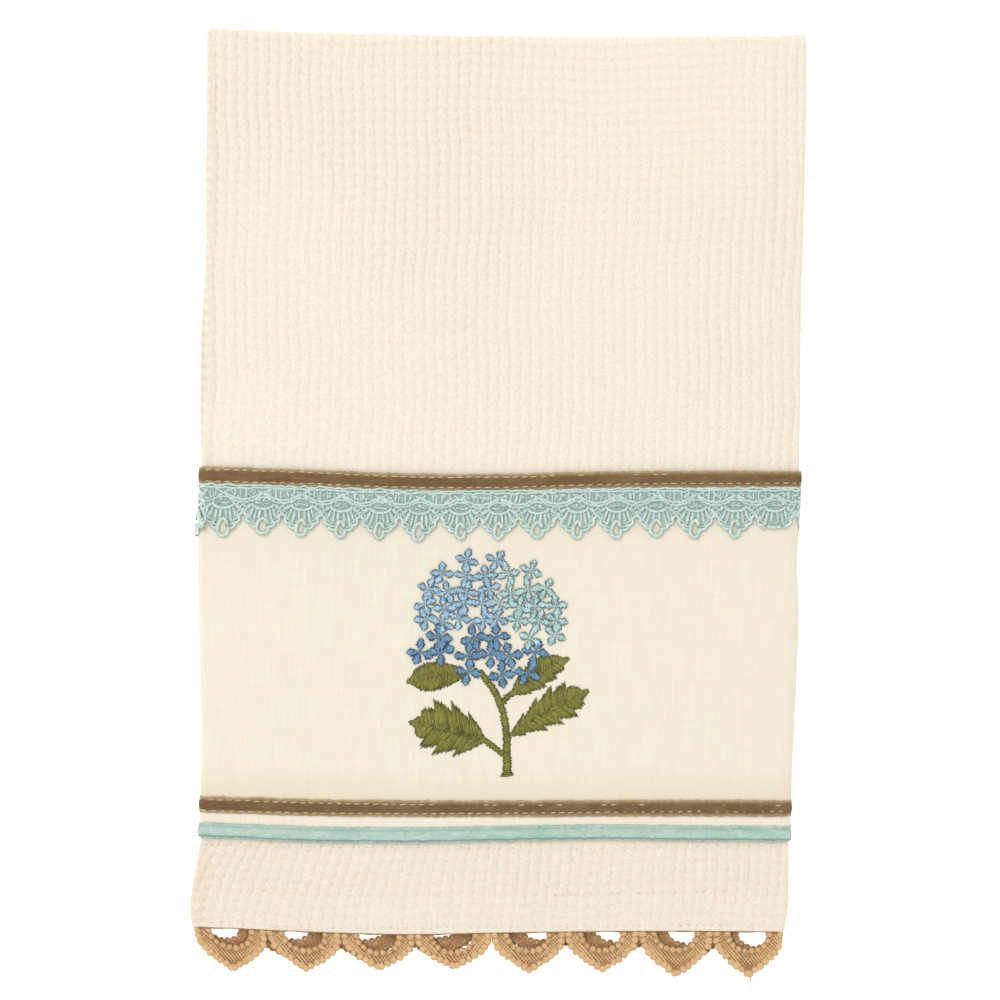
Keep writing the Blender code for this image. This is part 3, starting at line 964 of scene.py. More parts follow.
def linen_panel():
    """The panel's cloth, very slightly rippled."""
    rows = np.linspace(PANEL.top, PANEL.bottom, PANEL_ROWS)
    across, down = np.meshgrid(trim_columns(PANEL_STEP), rows)
    ripple = np.sin(across / (5.3 * MM) + 1.3 * np.sin(down / (21 * MM)))
    ripple = ripple + 0.6 * np.sin(across / (3.1 * MM) + 0.9 * np.sin(down / (13 * MM)) + 2.0)
    proud = PANEL_PROUD + RIPPLES * ripple
    shape = grid_shape(across, down, proud, (across / MM, down / MM, 0.5))
    made = piece("linen_panel_cloth", shape, linen_look(), ["linen_panel"])
    shell = made.modifiers.new("thickness", "SOLIDIFY")
    shell.thickness = PANEL_CLOTH
    shell.offset = 0.0
    return made


# A ribbon's section: SHARE of its width from its middle line, and RAISED, in millimetres
BROWN_PROFILE = table(
    "share raised",
    *((-0.50, 0.15), (-0.48, 0.42), (-0.42, 0.56), (-0.36, 0.60), (-0.30, 0.48), (-0.25, 0.66)),
    *((-0.17, 0.88), (-0.08, 0.96), (0.00, 1.00), (0.08, 0.98), (0.17, 0.88), (0.25, 0.66)),
    *((0.30, 0.48), (0.36, 0.60), (0.42, 0.56), (0.48, 0.42), (0.50, 0.15)),
)
AQUA_PROFILE = table(
    "share raised",
    *((-0.50, 0.15), (-0.47, 0.42), (-0.40, 0.60), (-0.32, 0.64), (-0.25, 0.46)),
    *((-0.18, 0.74), (-0.08, 0.92), (0.04, 1.00), (0.16, 0.98), (0.26, 0.85)),
    *((0.33, 0.66), (0.38, 0.42), (0.43, 0.55), (0.47, 0.42), (0.50, 0.15)),
)
RIBBON_BACK = (0.48, 0.16, -0.16, -0.48)  # shares of the width across its flat back

# How far each ribbon lies below its straight course, in millimetres
DRIFTS = table(
    "x upper lower aqua",
    (-100, 0.0, -0.2, -0.2),
    (-65, 0.0, 0.2, 0.5),
    (-30, 0.1, 0.1, 0.3),
    (0, 0.1, 0.1, -0.2),
    (35, 0.0, 0.0, -0.7),
    (65, 0.0, 0.1, 0.0),
    (100, 0.1, 0.3, 0.1),
)
UPPER_VELVET = Band(148.4 * MM, 154.4 * MM)
LOWER_VELVET = Band(259.6 * MM, 265.2 * MM)
AQUA_VELVET = Band(268.45 * MM, 273.6 * MM)
RIBBON_BASE = PANEL_FACE + 0.12 * MM
RIBBON_STEP = 1.1 * MM


def drift(columns, field):
    """How far a ribbon strays down at each place across."""
    return soft_interp(columns, column(DRIFTS, "x"), column(DRIFTS, field), SAG_SOFTNESS)


def ribbon(name, band, profile, field, look, node):
    """A velvet ribbon: a raised pile over a flat woven back, all round in one closed strip."""
    columns = trim_columns(RIBBON_STEP)
    over = [(p.share, RIBBON_BASE + p.raised * MM) for p in profile]
    section = np.array(over + [(share, RIBBON_BASE) for share in RIBBON_BACK])
    share = section[:, :1]
    frayed = 0.10 * MM * chance.normal(size=(2, len(columns)))
    edge_wander = np.where(share < 0, frayed[0], frayed[1]) * np.abs(share) * 2
    pile = 1 + 0.05 * np.sin(columns / (2.3 * MM) + 0.7) + 0.05 * np.sin(columns / (5.9 * MM))
    pile = pile + 0.03 * chance.normal(size=len(columns))
    down = band.middle + share * band.width + drift(columns, field)[None, :] + edge_wander
    proud = RIBBON_BASE + (section[:, 1:] - RIBBON_BASE) * pile[None, :]
    shape = grid_shape(columns, down, proud, (columns / MM, share, 0.0), loop=True)
    return piece(name, shape, look, [node])


# Rows of stitches: the ribbon, the share of its width from the middle line at the left and at the right,
# and, in millimetres, where the row sinks out of sight into the pile, and a stitch's length
ROWS = table(
    "band drift left right sinks length",
    (UPPER_VELVET, "upper", -0.33, -0.29, 20, 2.8),
    (UPPER_VELVET, "upper", 0.32, 0.20, 200, 2.7),
    (LOWER_VELVET, "lower", -0.31, -0.16, -20, 2.7),
    (LOWER_VELVET, "lower", 0.36, 0.16, 200, 2.6),
)
STITCH_PITCH = 3.15 * MM
STITCH_SLANT = 0.08 * MM  # how far a stitch's ends lie off its level line
STITCHED_FLAP = 60 * MM  # how far the rows go on behind the side folds
SELDOM = 0.2  # the share of a sunken row's stitches that still show


def ribbon_stitches():
    """The pale stitches that hold the two brown ribbons down, a row along each woven edge."""
    pairs = []
    reach = FOLD + STITCHED_FLAP
    for row in ROWS:
        at = np.arange(-reach, reach, STITCH_PITCH) + chance.random() * STITCH_PITCH
        at = at + chance.normal(0, 0.12 * MM, len(at))
        at = at[(at < row.sinks * MM) | (chance.random(len(at)) < SELDOM)]
        slant = row.left + (row.right - row.left) * np.clip((at + FACE_HALF) / (2 * FACE_HALF), 0, 1)
        line = row.band.middle + slant * row.band.width + drift(at, row.drift)
        long = row.length * MM * (1 + 0.12 * chance.normal(size=len(at)))
        wobble = chance.normal(0, 0.07 * MM, (2, len(at)))
        start = np.stack([at - long / 2, line + wobble[0] + STITCH_SLANT], axis=1)
        end = np.stack([at + long / 2, line + wobble[1] - STITCH_SLANT], axis=1)
        pairs.append((start, end))
    starts, ends = together(pairs)
    tone = chance.random(len(starts))
    shape = stitches(starts, ends, 0.46 * MM, 0.22 * MM, RIBBON_BASE + 0.50 * MM, 0.22 * MM, tone)
    look = satin_look("stitching_thread", (224, 204, 166), (160, 134, 96))
    return piece("ribbon_stitches", shape, look)


# ---------------------------------------------------------------------------------------------------
# The aqua lace

LACE_PROUD = PANEL_FACE + 0.75 * MM  # the middle of its cords
AQUA_CORD = 0.52 * MM  # radius of its main cords
RIM_CORD = 0.62 * MM
DROP_CORD = 0.70 * MM
EYE_CORDS = (0.40 * MM, 0.55 * MM)  # above the eye and below it
FINE_CORD = 0.36 * MM
OVER = 0.05 * MM  # how far a cord that crosses others is raised, or sunk where it passes under them
PLAIN_TIP = 12.2 * MM  # how far down the net goes, and the one tooth that has no drop
MIDDLE_SPOKE = 13  # degrees from straight down
OUTER_SPOKE = 82
AQUA_SPOKES = (-OUTER_SPOKE, -56, -34, -MIDDLE_SPOKE, MIDDLE_SPOKE, 34, 56, OUTER_SPOKE)
EYE_DOWN = 5.4 * MM  # the oval eye above each tooth: its middle, and half its height and width
EYE_HIGH = 1.8 * MM
EYE_WIDE = 0.275 * AQUA_PITCH
SWAG_TOP = 1.3 * MM
SWAG_DIP = 3.0 * MM
SWAG_ROUND = 0.8  # 1 for a swag like a sine's arch, less for a fuller one
SWAG_GAP = 0.95 * MM  # from its first cord down to its second
SWAG_BARS = (0.15, 0.31, 0.44, 0.60, 0.78)  # where upright threads cross a swag
BAR_CORDS = (0.30 * MM, 0.52 * MM)  # from the thinnest to the thickest
BAR_TOP = 0.2 * MM
CROSS_DOWN = 2.3 * MM  # the crossed cords above each eye, and half their width and height
CROSS_WIDE = 2.4 * MM
CROSS_HIGH = 1.4 * MM
RING_BESIDE = 0.42 * AQUA_PITCH  # the small rings beside each eye
RING_DOWN = 5.9 * MM
RING_WIDE = 0.85 * MM
RING_HIGH = 1.0 * MM
SPOKE_CORDS = (0.46 * MM, 0.66 * MM)
SPOKE_REACH = 0.43 * AQUA_PITCH  # how far across a level spoke would end
DROP_DOWN = 13.3 * MM  # the loop at each tip
DROP_HIGH = 2.85 * MM
DROP_WIDE = 1.60 * MM
LACE_KNOTS = 16  # small knots about the heading of each repeat
RIM_LOBES = 3  # ripples of the rim on each side of a tip
LOBE = 0.75 * MM
LOOSE_TOOTH = 1.7 * MM  # how far past the left fold the tip of the tooth that wraps it is, half the right's
LOOSE_SHARE = 0.45  # how wide that tooth looks
LOOSE_LIFT = 1.6 * MM  # how far the left one's tip stands off
NET_ROWS = 12
NET_HIDDEN = 0.4 * MM  # how far the net's edges go in behind the cords

# Its rim: REACH is a point's distance from the tip, as a share of half a tooth, DEPTH in millimetres
TOOTH_RIM = table(
    "reach depth",
    *((1.00, 7.3), (0.93, 7.6), (0.87, 8.5), (0.81, 9.7), (0.74, 10.9)),
    *((0.62, 12.0), (0.48, 12.8), (0.36, 13.3), (0.26, 13.7)),
)


def rim_depth(tooth):
    """How far down the rim cord lies, TOOTH being 0 and 1 at the valleys and 0.5 at the tip."""
    reach = np.abs(2 * np.asarray(tooth) - 1)
    rim = np.array(TOOTH_RIM)[::-1]
    return np.interp(reach, rim[:, 0], rim[:, 1]) * MM


def lace_path(across, depth, raised=0.0):
    """Points of the aqua lace, DEPTH being measured from its top."""
    across, depth, raised = np.broadcast_arrays(across, depth, raised)
    return np.stack([across, AQUA_TOP + depth, LACE_PROUD + raised], axis=-1)


def aqua_tooth(middle, fine, squeeze=1.0, loose=0.0, drop=True):
    """One repeat of the lace, MIDDLE being its tip's place across.  LOOSE lifts its tip."""
    lean = chance.normal(0, 0.3 * MM)
    longer = chance.normal(0, 0.35 * MM)
    half = AQUA_PITCH / 2
    shapes = []

    def add(across, depth, radius, lift=0.0, **settings):
        """A cord through points named by their place across from the tip and their depth."""
        depth = depth + longer * ease((depth - 8 * MM) / (8 * MM))
        across = across * squeeze + lean * depth / (16 * MM)
        lift = lift + loose * ease((depth - 5 * MM) / (8 * MM))
        radius = radius * (1.0 if squeeze == 1.0 else 0.6)
        sides = CORD_SIDES if fine else 4
        shapes.append(cord(lace_path(middle + across, depth, lift), radius, sides=sides, **settings))

    stations = [(point.reach * half / MM, point.depth) for point in TOOTH_RIM]
    contour = smooth_path(stations, 29 if fine else 9) * MM
    lobes = np.abs(np.sin(np.pi * RIM_LOBES * np.linspace(0.0, 1.0, len(contour)))) * LOBE
    for side in (-1, 1):
        across = side * (contour[:, 0] + 0.7 * lobes)
        depth = contour[:, 1] + 0.7 * lobes - 0.2 * MM
        if not drop:
            keep = contour[:, 0] > 0.36 * half
            across, depth = across[keep], np.minimum(depth[keep], 12.6 * MM)
        add(across, depth, RIM_CORD, tone=0.1)
        if fine:
            add(0.90 * across[2:], depth[2:] - 1.0 * MM, FINE_CORD, -OVER)

    if drop:
        turn = TURN * np.arange(16) / 16
        wide = DROP_WIDE * (1 + 0.22 * np.sin(turn)) * chance.uniform(0.9, 1.3)
        high = DROP_HIGH * chance.uniform(0.9, 1.05)
        add(wide * np.cos(turn), DROP_DOWN + high * np.sin(turn), DROP_CORD, loop=True, tone=0.0)
    else:
        across = np.linspace(-0.40, 0.40, 9) * half
        add(across, PLAIN_TIP + 0.4 * MM * np.cos(across / half * 4), RIM_CORD, tone=0.1)

    # The swag that hangs from this repeat's middle to the next one's, doubled and crossed by bars
    swag = np.linspace(0.0, 1.0, 13)
    dip = SWAG_TOP + SWAG_DIP * np.sin(np.pi * swag) ** SWAG_ROUND
    ruffled = 0.20 * MM * np.sin(swag * 31 + 6 * lean / MM)
    add(swag * AQUA_PITCH, dip + ruffled, AQUA_CORD, tone=0.0)
    if not fine:
        return shapes
    add(swag * AQUA_PITCH, dip + SWAG_GAP - ruffled, 0.42 * MM, -OVER)

    bar = np.linspace(0.0, 1.0, 4)
    for share in SWAG_BARS:
        share = share + chance.normal(0, 0.025)
        bottom = SWAG_TOP + SWAG_DIP * math.sin(math.pi * share) ** SWAG_ROUND
        slope = (0.5 - share) * 1.6 * MM + chance.normal(0, 0.6 * MM)
        thick = chance.uniform(*BAR_CORDS)
        add(share * AQUA_PITCH + slope * bar, BAR_TOP + (bottom - BAR_TOP) * bar, thick, -OVER)

    # The oval eye, and knots about it
    turn = np.radians(np.linspace(0, 180, 13))
    across = EYE_WIDE * np.cos(turn)
    add(across, EYE_DOWN - (EYE_HIGH + 0.1 * MM) * np.sin(turn), EYE_CORDS[0], OVER)
    add(across, EYE_DOWN + (EYE_HIGH + 0.2 * MM) * np.sin(turn), EYE_CORDS[1], OVER, tone=0.0)
    rough = chance.normal(0, 0.25 * MM, (2, len(turn)))
    add(0.6 * across + rough[0], EYE_DOWN + 0.2 * MM + rough[1], FINE_CORD, -OVER)
    for _ in range(LACE_KNOTS):
        at = chance.uniform(-0.5, 0.5) * AQUA_PITCH
        down = AQUA_TOP + chance.uniform(0.6, 5.2) * MM
        size = chance.uniform(0.40, 0.80) * MM
        centre = (middle + at * squeeze, down, LACE_PROUD + OVER)
        shapes.append(bead(centre, size, 0.8 * size, 0.42 * MM, chance.uniform(0, math.pi)))

    # A cross above the eye, a small ring at each side, and the spokes from the eye to the rim
    cross = np.linspace(-1.0, 1.0, 6)
    ring = TURN * np.arange(10) / 10
    for side in (-1, 1):
        add(side * CROSS_WIDE * cross, CROSS_DOWN + CROSS_HIGH * cross, EYE_CORDS[0], OVER)
        beside = side * RING_BESIDE + RING_WIDE * np.cos(ring)
        add(beside, RING_DOWN + RING_HIGH * np.sin(ring), FINE_CORD, loop=True)

    for degrees in AQUA_SPOKES:
        angle = math.radians(degrees)
        start = np.array([EYE_WIDE * math.sin(angle), EYE_DOWN + EYE_HIGH * math.cos(angle)])
        far = SPOKE_REACH * math.sin(angle)
        edge = float(rim_depth(0.5 + far / AQUA_PITCH)) - 0.4 * MM
        if abs(degrees) == MIDDLE_SPOKE:  # these two end above the drop
            far, edge = 1.3 * MM * np.sign(degrees), 11.2 * MM
        if abs(degrees) == OUTER_SPOKE:  # and these two near the valleys
            far, edge = far * 1.02, 7.6 * MM
        shift = chance.normal(0, 0.18 * MM)
        across = start[0] + (far + shift - start[0]) * bar
        add(across, start[1] + (edge - start[1]) * bar, chance.uniform(*SPOKE_CORDS))
    return shapes


def aqua_net():
    """The lace's fine ground, painted darker to stand for the shade between its cords."""
    columns = trim_columns(AQUA_PITCH / 12, TRIM_END_INSET + NET_HIDDEN)
    tooth = (columns + FACE_HALF) / AQUA_PITCH % 1.0
    bottom = np.minimum(rim_depth(tooth) - 0.3 * MM, PLAIN_TIP)
    last_tooth = FACE_HALF - AQUA_PITCH
    loop = (np.abs(2 * tooth - 1) * AQUA_PITCH / 2 < 0.8 * DROP_WIDE) & (columns < last_tooth)
    bottom = np.where(loop, DROP_DOWN - DROP_HIGH + NET_HIDDEN, bottom)
    share = np.linspace(0.0, 1.0, NET_ROWS)[:, None]
    down = AQUA_TOP - NET_HIDDEN + share * (bottom + NET_HIDDEN)[None, :]
    thread = (columns / MM, (down - AQUA_TOP) / MM, 0.0)
    return grid_shape(columns, down, LACE_PROUD - 0.15 * MM, thread)


def aqua_lace():
    left_end, right_end = flap_ends(TRIM_END_INSET)
    shapes = []
    first = math.ceil((left_end + FACE_HALF) / AQUA_PITCH)
    last = math.floor((right_end + FACE_HALF) / AQUA_PITCH)
    for n in range(first, last):
        middle = -FACE_HALF + (n + 0.5) * AQUA_PITCH
        if n in (-1, AQUA_FACE_TEETH):
            past, lifted = (LOOSE_TOOTH, LOOSE_LIFT) if n < 0 else (2 * LOOSE_TOOTH, 0.0)
            middle = math.copysign(FACE_HALF + past, middle)
            shapes += aqua_tooth(middle, True, LOOSE_SHARE, lifted)
        else:
            shapes += aqua_tooth(middle, abs(middle) < FACE_HALF, drop=n != AQUA_FACE_TEETH - 1)
    heading = trim_columns(1.3 * MM)
    for depth, radius in ((0.35, 0.46), (-0.45, 0.42)):
        wobble = chance.normal(0, 0.20 * MM, len(heading))
        shapes.append(cord(lace_path(heading, depth * MM + wobble), radius * MM, tone=0.2))
    look = lace_look("aqua_lace_cord", (221, 238, 229), (184, 212, 202), 1.1)
    made = piece("aqua_lace_cords", joined(shapes), look, ["aqua_lace"])
    # The net's colours are painted shade: dark teal in the upper windows, and linen in shade lower down
    ground = net_look("aqua_lace_shaded_ground", (176, 203, 194), (190, 208, 192), 8.0, (148, 178, 169))
    return [made, piece("aqua_lace_net", aqua_net(), ground)]


# ---------------------------------------------------------------------------------------------------
# The beige lace

BEIGE_FACE_TIPS = (14.6, 13.3, 12.2, 12.0, 13.6, 13.6, 15.6, 15.6)  # millimetres, left to right
BEIGE_PITCH = (2 * FACE_HALF + SIDE_ARC) / len(BEIGE_FACE_TIPS)
BEIGE_FLAP_TIP = 11.2 * MM
BEIGE_FLAP_SCALLOPS = 4
BEIGE_FLAP_JOINT = 19.3 * MM  # from a side fold to where the first two scallops behind it meet
RIGHT_HALF_SHIFT = 0.9 * MM  # the scallops of the right half lie this much further right
SCALLOP_VALLEY = 3.2 * MM  # from the lace's top down to where two scallops part
SCALLOP_POINT = 0.64  # 1 for straight flanks, less for fuller ones
ARCH_HALF = 0.25  # half an arch's width, as a share of its scallop's
ARCH_DEPTH = 5.0 * MM
FLAP_ARCHES = {-1: 3.2 * MM, 1: 4.7 * MM}  # how deep they are on the left flap and on the right one
ARCH_RIM = 0.86  # how far outside the arch the inner row of knobs lies, as a share of KNOB
RIM_INSET = 0.92  # how far inside the scallop's edge the outer row lies, likewise
KNOB = 1.30 * MM  # a knob's half-length
KNOB_PITCH = 2.25 * MM
KNOB_HEIGHT = 0.50 * MM
KNOB_UNEVEN = 0.09  # how much its size varies
KNOB_HEIGHTS = (0.75, 1.15)  # the lowest and the highest, as shares of that height
INNER_KNOB = 0.90  # size of the inner row's knobs, as a share of the outer row's
INNER_SINK = -0.16 * MM
FLAP_THICK = 0.75  # height of the flaps' knobs, as a share of the face's
LATTICE_PITCH = 1.22 * MM
LATTICE_CORD = 0.38 * MM
LATTICE_THREADS = 15  # on each side of a scallop's middle
LATTICE_REACH = 14 * MM  # half the length that is tried for each thread
LATTICE_DOWN = 7.0 * MM  # where the middles of the threads are
LATTICE_SLOPE = (0.66, 0.75)  # how far a thread goes across and down
THIN_CORD = 0.28 * MM
THIN_SIDES = 5
SEAM_UP = 0.47 * MM  # how far above the lace its seam with the hem runs

# The loose thread at the right, in millimetres
TAIL = table("across down proud", (89.5, 320.0, 0.0), (90.0, 321.1, 0.2), (89.8, 322.3, 0.1))


def scallop_outline(across, left, right, tip):
    """How far below the lace's top the lower edge of a scallop is."""
    through = np.clip((across - left) / (right - left), 0.0, 1.0)
    inward = np.clip(1 - np.abs(2 * through - 1), 0.0, 1.0)
    return SCALLOP_VALLEY + (tip - SCALLOP_VALLEY) * inward**SCALLOP_POINT


def arch_outline(across, left, right, depth):
    """How far below the lace's top the arch's edge is; zero outside the arch."""
    off = ((across - left) / (right - left) - 0.5) / ARCH_HALF
    return np.where(np.abs(off) < 1, depth * np.sqrt(np.maximum(1 - off**2, 0.0)), 0.0)


def spaced(path, pitch):
    """Points about PITCH apart along a path, from its start to its end."""
    run = run_lengths(path)
    at = np.linspace(0.0, run[-1], round(run[-1] / pitch) + 1)
    return np.stack([np.interp(at, run, path[:, axis]) for axis in range(2)], axis=1)


def rim_path(left, right, tip):
    """The middle line of the outer row of knobs: down from the hem, round the tip and up again."""
    inset = KNOB * RIM_INSET
    across = np.linspace(left, right, 61)
    edge = np.column_stack([across, BEIGE_TOP + scallop_outline(across, left, right, tip)])
    line = edge + sideways(np.gradient(edge, axis=0)) * inset
    line = line[(line[:, 0] > left + inset) & (line[:, 0] < right - inset)]
    start, end = [[[at, BEIGE_TOP + 0.3 * MM]] for at in (left + inset, right - inset)]
    return np.concatenate([start, line, end])


def arch_path(left, right, depth):
    """The middle line of the inner row of knobs."""
    middle, half = (left + right) / 2, (right - left) * ARCH_HALF + KNOB * ARCH_RIM
    turn = np.linspace(np.pi, 0.0, 41)
    across = middle + half * np.cos(turn)
    down = BEIGE_TOP + 0.4 * MM + (depth + KNOB * ARCH_RIM - 0.4 * MM) * np.sin(turn)
    return np.column_stack([across, down])


def inside_lace(across, down, left, right, tip, depth):
    """Which points of the crescent lie between its two rows of knobs."""
    low = BEIGE_TOP + scallop_outline(across, left, right, tip) - 1.9 * KNOB
    off = (across - (left + right) / 2) / ((right - left) * ARCH_HALF + 1.3 * KNOB)
    arch = (depth + 1.3 * KNOB) * np.sqrt(np.maximum(1 - off**2, 0.0))
    high = BEIGE_TOP + np.maximum(arch, -0.9 * MM)
    return (across > left + KNOB) & (across < right - KNOB) & (down > high) & (down < low + 0.9 * MM)


def lattice(left, right, tip, depth):
    """Crossed thin threads that fill a scallop between its rows of knobs."""
    shapes = []
    middle = (left + right) / 2
    t = np.linspace(-LATTICE_REACH, LATTICE_REACH, 113)
    for lean in (-1, 1):
        for n in range(-LATTICE_THREADS, LATTICE_THREADS + 1):
            across = middle + n * LATTICE_PITCH + t * LATTICE_SLOPE[0] + 0.05 * MM * np.sin(t / MM)
            down = BEIGE_TOP + LATTICE_DOWN + lean * t * LATTICE_SLOPE[1]
            inside = inside_lace(across, down, left, right, tip, depth)
            for run in np.split(np.arange(len(t)), np.nonzero(np.diff(inside.astype(int)))[0] + 1):
                if not inside[run[0]] or len(run) < 4:
                    continue
                ends = run[[0, len(run) // 2, -1]]
                path = np.column_stack([across[ends], down[ends], np.full(3, lean * 0.10 * MM)])
                on_arm = min(1.0, abs(across[ends[1]] - middle) / (8 * MM))
                radius = LATTICE_CORD * (0.9 + 0.4 * on_arm) * chance.uniform(0.8, 1.25)
                shapes.append(cord(path, radius, sides=THIN_SIDES))
    return shapes


def scallop(left, right, tip, depth, thick):
    """One crescent of the lace.  THICK scales its height, less for the layer that lies lowest."""
    shapes = []
    outer_row = spaced(rim_path(left, right, tip), KNOB_PITCH)
    inner_row = spaced(arch_path(left, right, depth), KNOB_PITCH)
    for row, size, sink in ((outer_row, 1.0, 0.0), (inner_row, INNER_KNOB, INNER_SINK)):
        headings = np.arctan2(*np.gradient(row, axis=0).T[::-1])
        for centre, heading in zip(row, headings):
            off = chance.normal(0, 0.10 * MM, 2)
            along, beside = KNOB * size * (1 + KNOB_UNEVEN * chance.normal(size=2))
            at = (centre[0] + off[0], centre[1] + off[1], 0.05 * MM + sink)
            heading = heading + chance.normal(0, 0.3)
            tall = KNOB_HEIGHT * thick * chance.uniform(*KNOB_HEIGHTS)
            shapes.append(bead(at, along, beside * 1.04, tall, heading))
    return shapes + lattice(left, right, tip, depth)


def scallop_ground(left, right, tip, depth):
    """The fine back of a scallop, which shows between its threads, painted darkest along its middle as the
    shade in its holes.
    """
    across = np.linspace(left + 0.1 * MM, right - 0.1 * MM, 33)
    low = scallop_outline(across, left, right, tip) - 1.1 * MM
    arch = arch_outline(across, left, right, depth)
    high = np.where(arch > 0, arch + 0.8 * MM, -0.5 * MM)
    share = np.linspace(0.0, 1.0, 7)[:, None]
    down = BEIGE_TOP + high + (np.maximum(low, high + 0.2 * MM) - high) * share
    off = np.abs((across - left) / (right - left) - 0.5)
    # DEEP: how much painted shade the holes show here
    deep = np.sin(np.pi * share) ** 2 * np.clip((0.36 - off) / 0.14, 0.0, 1.0)
    return grid_shape(across, down, -0.14 * MM, (across / MM, (down - BEIGE_TOP) / MM, deep))


def beige_lace():
    start = FACE_HALF + SIDE_ARC / 2
    face_joints = [-start + n * BEIGE_PITCH for n in range(len(BEIGE_FACE_TIPS) + 1)]
    face_joints[4:-1] = [joint + RIGHT_HALF_SHIFT for joint in face_joints[4:-1]]
    front, front_ground = [], []
    for left, right, tip in zip(face_joints, face_joints[1:], BEIGE_FACE_TIPS):
        front += scallop(left, right, tip * MM, ARCH_DEPTH, 1.0)
        front_ground.append(scallop_ground(left, right, tip * MM, ARCH_DEPTH))

    along_hem = np.arange(-start + 1.5 * MM, start - 1.5 * MM, 1.0 * MM)
    wobble = 0.12 * MM * np.sin(along_hem / (1.7 * MM))
    proud = np.full(len(along_hem), 0.2 * MM)
    # A dark seam cord along the hem, partly a real seam and partly painted shade under the hem's edge
    seam_and_shade = np.column_stack([along_hem, BEIGE_TOP - SEAM_UP + wobble, proud])
    front.append(cord(seam_and_shade, THIN_CORD, sides=THIN_SIDES, tone=2.0))

    back, back_ground = [], []
    joints = [FOLD + BEIGE_FLAP_JOINT + n * BEIGE_PITCH for n in range(BEIGE_FLAP_SCALLOPS + 1)]
    joints = [start] + joints
    for side, flap in ((-1, LEFT_FLAP), (1, RIGHT_FLAP)):
        end = FOLD + flap - TRIM_END_INSET
        for near, far in zip(joints, joints[1:]):
            if far > end + 0.5 * BEIGE_PITCH:
                continue
            left, right = sorted((side * near, side * min(far, end)))
            back += scallop(left, right, BEIGE_FLAP_TIP, FLAP_ARCHES[side], FLAP_THICK)
            back_ground.append(scallop_ground(left, right, BEIGE_FLAP_TIP, FLAP_ARCHES[side]))

    front.append(cord(np.array(TAIL) * MM, THIN_CORD, sides=THIN_SIDES, tone=1.6))

    knobs = knob_look("beige_lace_cord", (247, 210, 159), (215, 173, 121), (158, 116, 72))
    # The ground's dark middle is painted shade
    ground = ground_look("beige_lace_ground", (226, 184, 132), (146, 102, 60))
    shaded = knob_look("beige_lace_shaded", (232, 188, 138), (214, 168, 120), (178, 134, 92))
    shaded_ground = ground_look("beige_lace_shaded_ground", (226, 182, 134), (200, 154, 108))
    return [
        piece("beige_lace_front", joined(front), knobs, ["beige_lace"]),
        piece("beige_lace_front_ground", joined(front_ground), ground),
        piece("beige_lace_flaps", joined(back), shaded),
        piece("beige_lace_flap_ground", joined(back_ground), shaded_ground),
    ]


# ---------------------------------------------------------------------------------------------------
# The embroidery: a round flower head on a stem with four leaves.  Its tables and the values without MM
# are in millimetres across and down.

SATIN = 0.60 * MM  # from one thread to the next
SATIN_WIDTH = 0.44 * MM
SATIN_HEIGHT = 0.18 * MM
UNDERLAY_WIDTH = 0.80 * MM  # of the padding threads below, painted dark as the shade between the satin threads

# Rows of florets: how far down a row is, its middle, half its width, and how many it has
FLORET_ROWS = table(
    "down middle half count",
    (177.0, -4.9, 4.7, 2),
    (182.6, -3.6, 15.2, 5),
    (188.2, -3.4, 20.4, 7),
    (193.4, -2.8, 22.0, 8),
    (198.2, -2.8, 22.8, 8),
    (203.4, -9.6, 9.8, 3),
    (203.6, 14.3, 4.4, 2),
    (209.9, -7.3, 19.7, 6),
    (216.4, 0.4, 9.9, 3),
)
FLORET_TURN = (-0.35, 0.50)  # how far they are turned, in radians
PETALS = 4
PETAL_RAGGED = (0.76, 1.30)  # how far its threads reach, as a share of its width
PETAL_START = 0.8  # from the floret's middle
PETAL_END = 4.25
PETAL_WIDTH = 1.46  # half of it
DEEP_FROM = 206.0  # florets this far down are deep blue, on the left already from here
DEEP_LEFT_FROM = 200.9
DEEP_LEFT_OF = 3.0
PALE_FROM = -0.4  # of the others, those this far right are pale
FLORET_BASE = 0.24 * MM  # they lie over the leaves and the stem
FLORET_LIFT = 0.30 * MM  # and over one another, by up to this

# The florets' silks: how large the florets are, and the thread's colours on top, with painted highlight, and
# where it dives, in painted shade
SILKS = {
    "deep": (1.08, (132, 180, 214), (36, 70, 102)),
    "mid": (0.93, (196, 233, 250), (64, 104, 136)),
    "pale": (0.93, (216, 246, 244), (88, 134, 138)),
}

LEAF_STITCH = 2.4 * MM  # the longest stitch in the leaves
OVERLAP = 0.22 * MM  # how far one of them runs on past its joint with the next
LEAF_SLANT = 0.5  # how far its threads lean towards its tip
OVERSTITCHED = 0.4  # the share of a leaf's surface that has a second stitch over the first
LEAF_LINE = (0.4, 1.0)  # how far past the midrib the threads of both sides start
LEAF_SPIKES = 0.40  # how far single threads run past the leaf's edge, at most
LEAF_EVERY_OTHER = 0.3  # how much further each second one runs

# BOW is how much the midrib bows, WIDTH half the leaf's, TEETH how many each side has, and TOOTH their
# depth as a share of the width.  EARLY below 1 puts the widest part nearer the base.
LEAVES = table(
    "base tip bow width teeth tooth early",
    ((-11.0, 216.0), (-31.3, 219.4), 0.02, 4.7, 0, 0.0, 0.9),
    ((4.8, 223.2), (24.0, 211.6), -0.06, 5.4, 4, 0.28, 0.8),
    ((-4.2, 239.2), (-30.4, 233.2), 0.03, 9.8, 4, 0.40, 0.76),
    ((4.4, 237.6), (30.8, 222.6), -0.03, 6.9, 5, 0.42, 1.15),
)

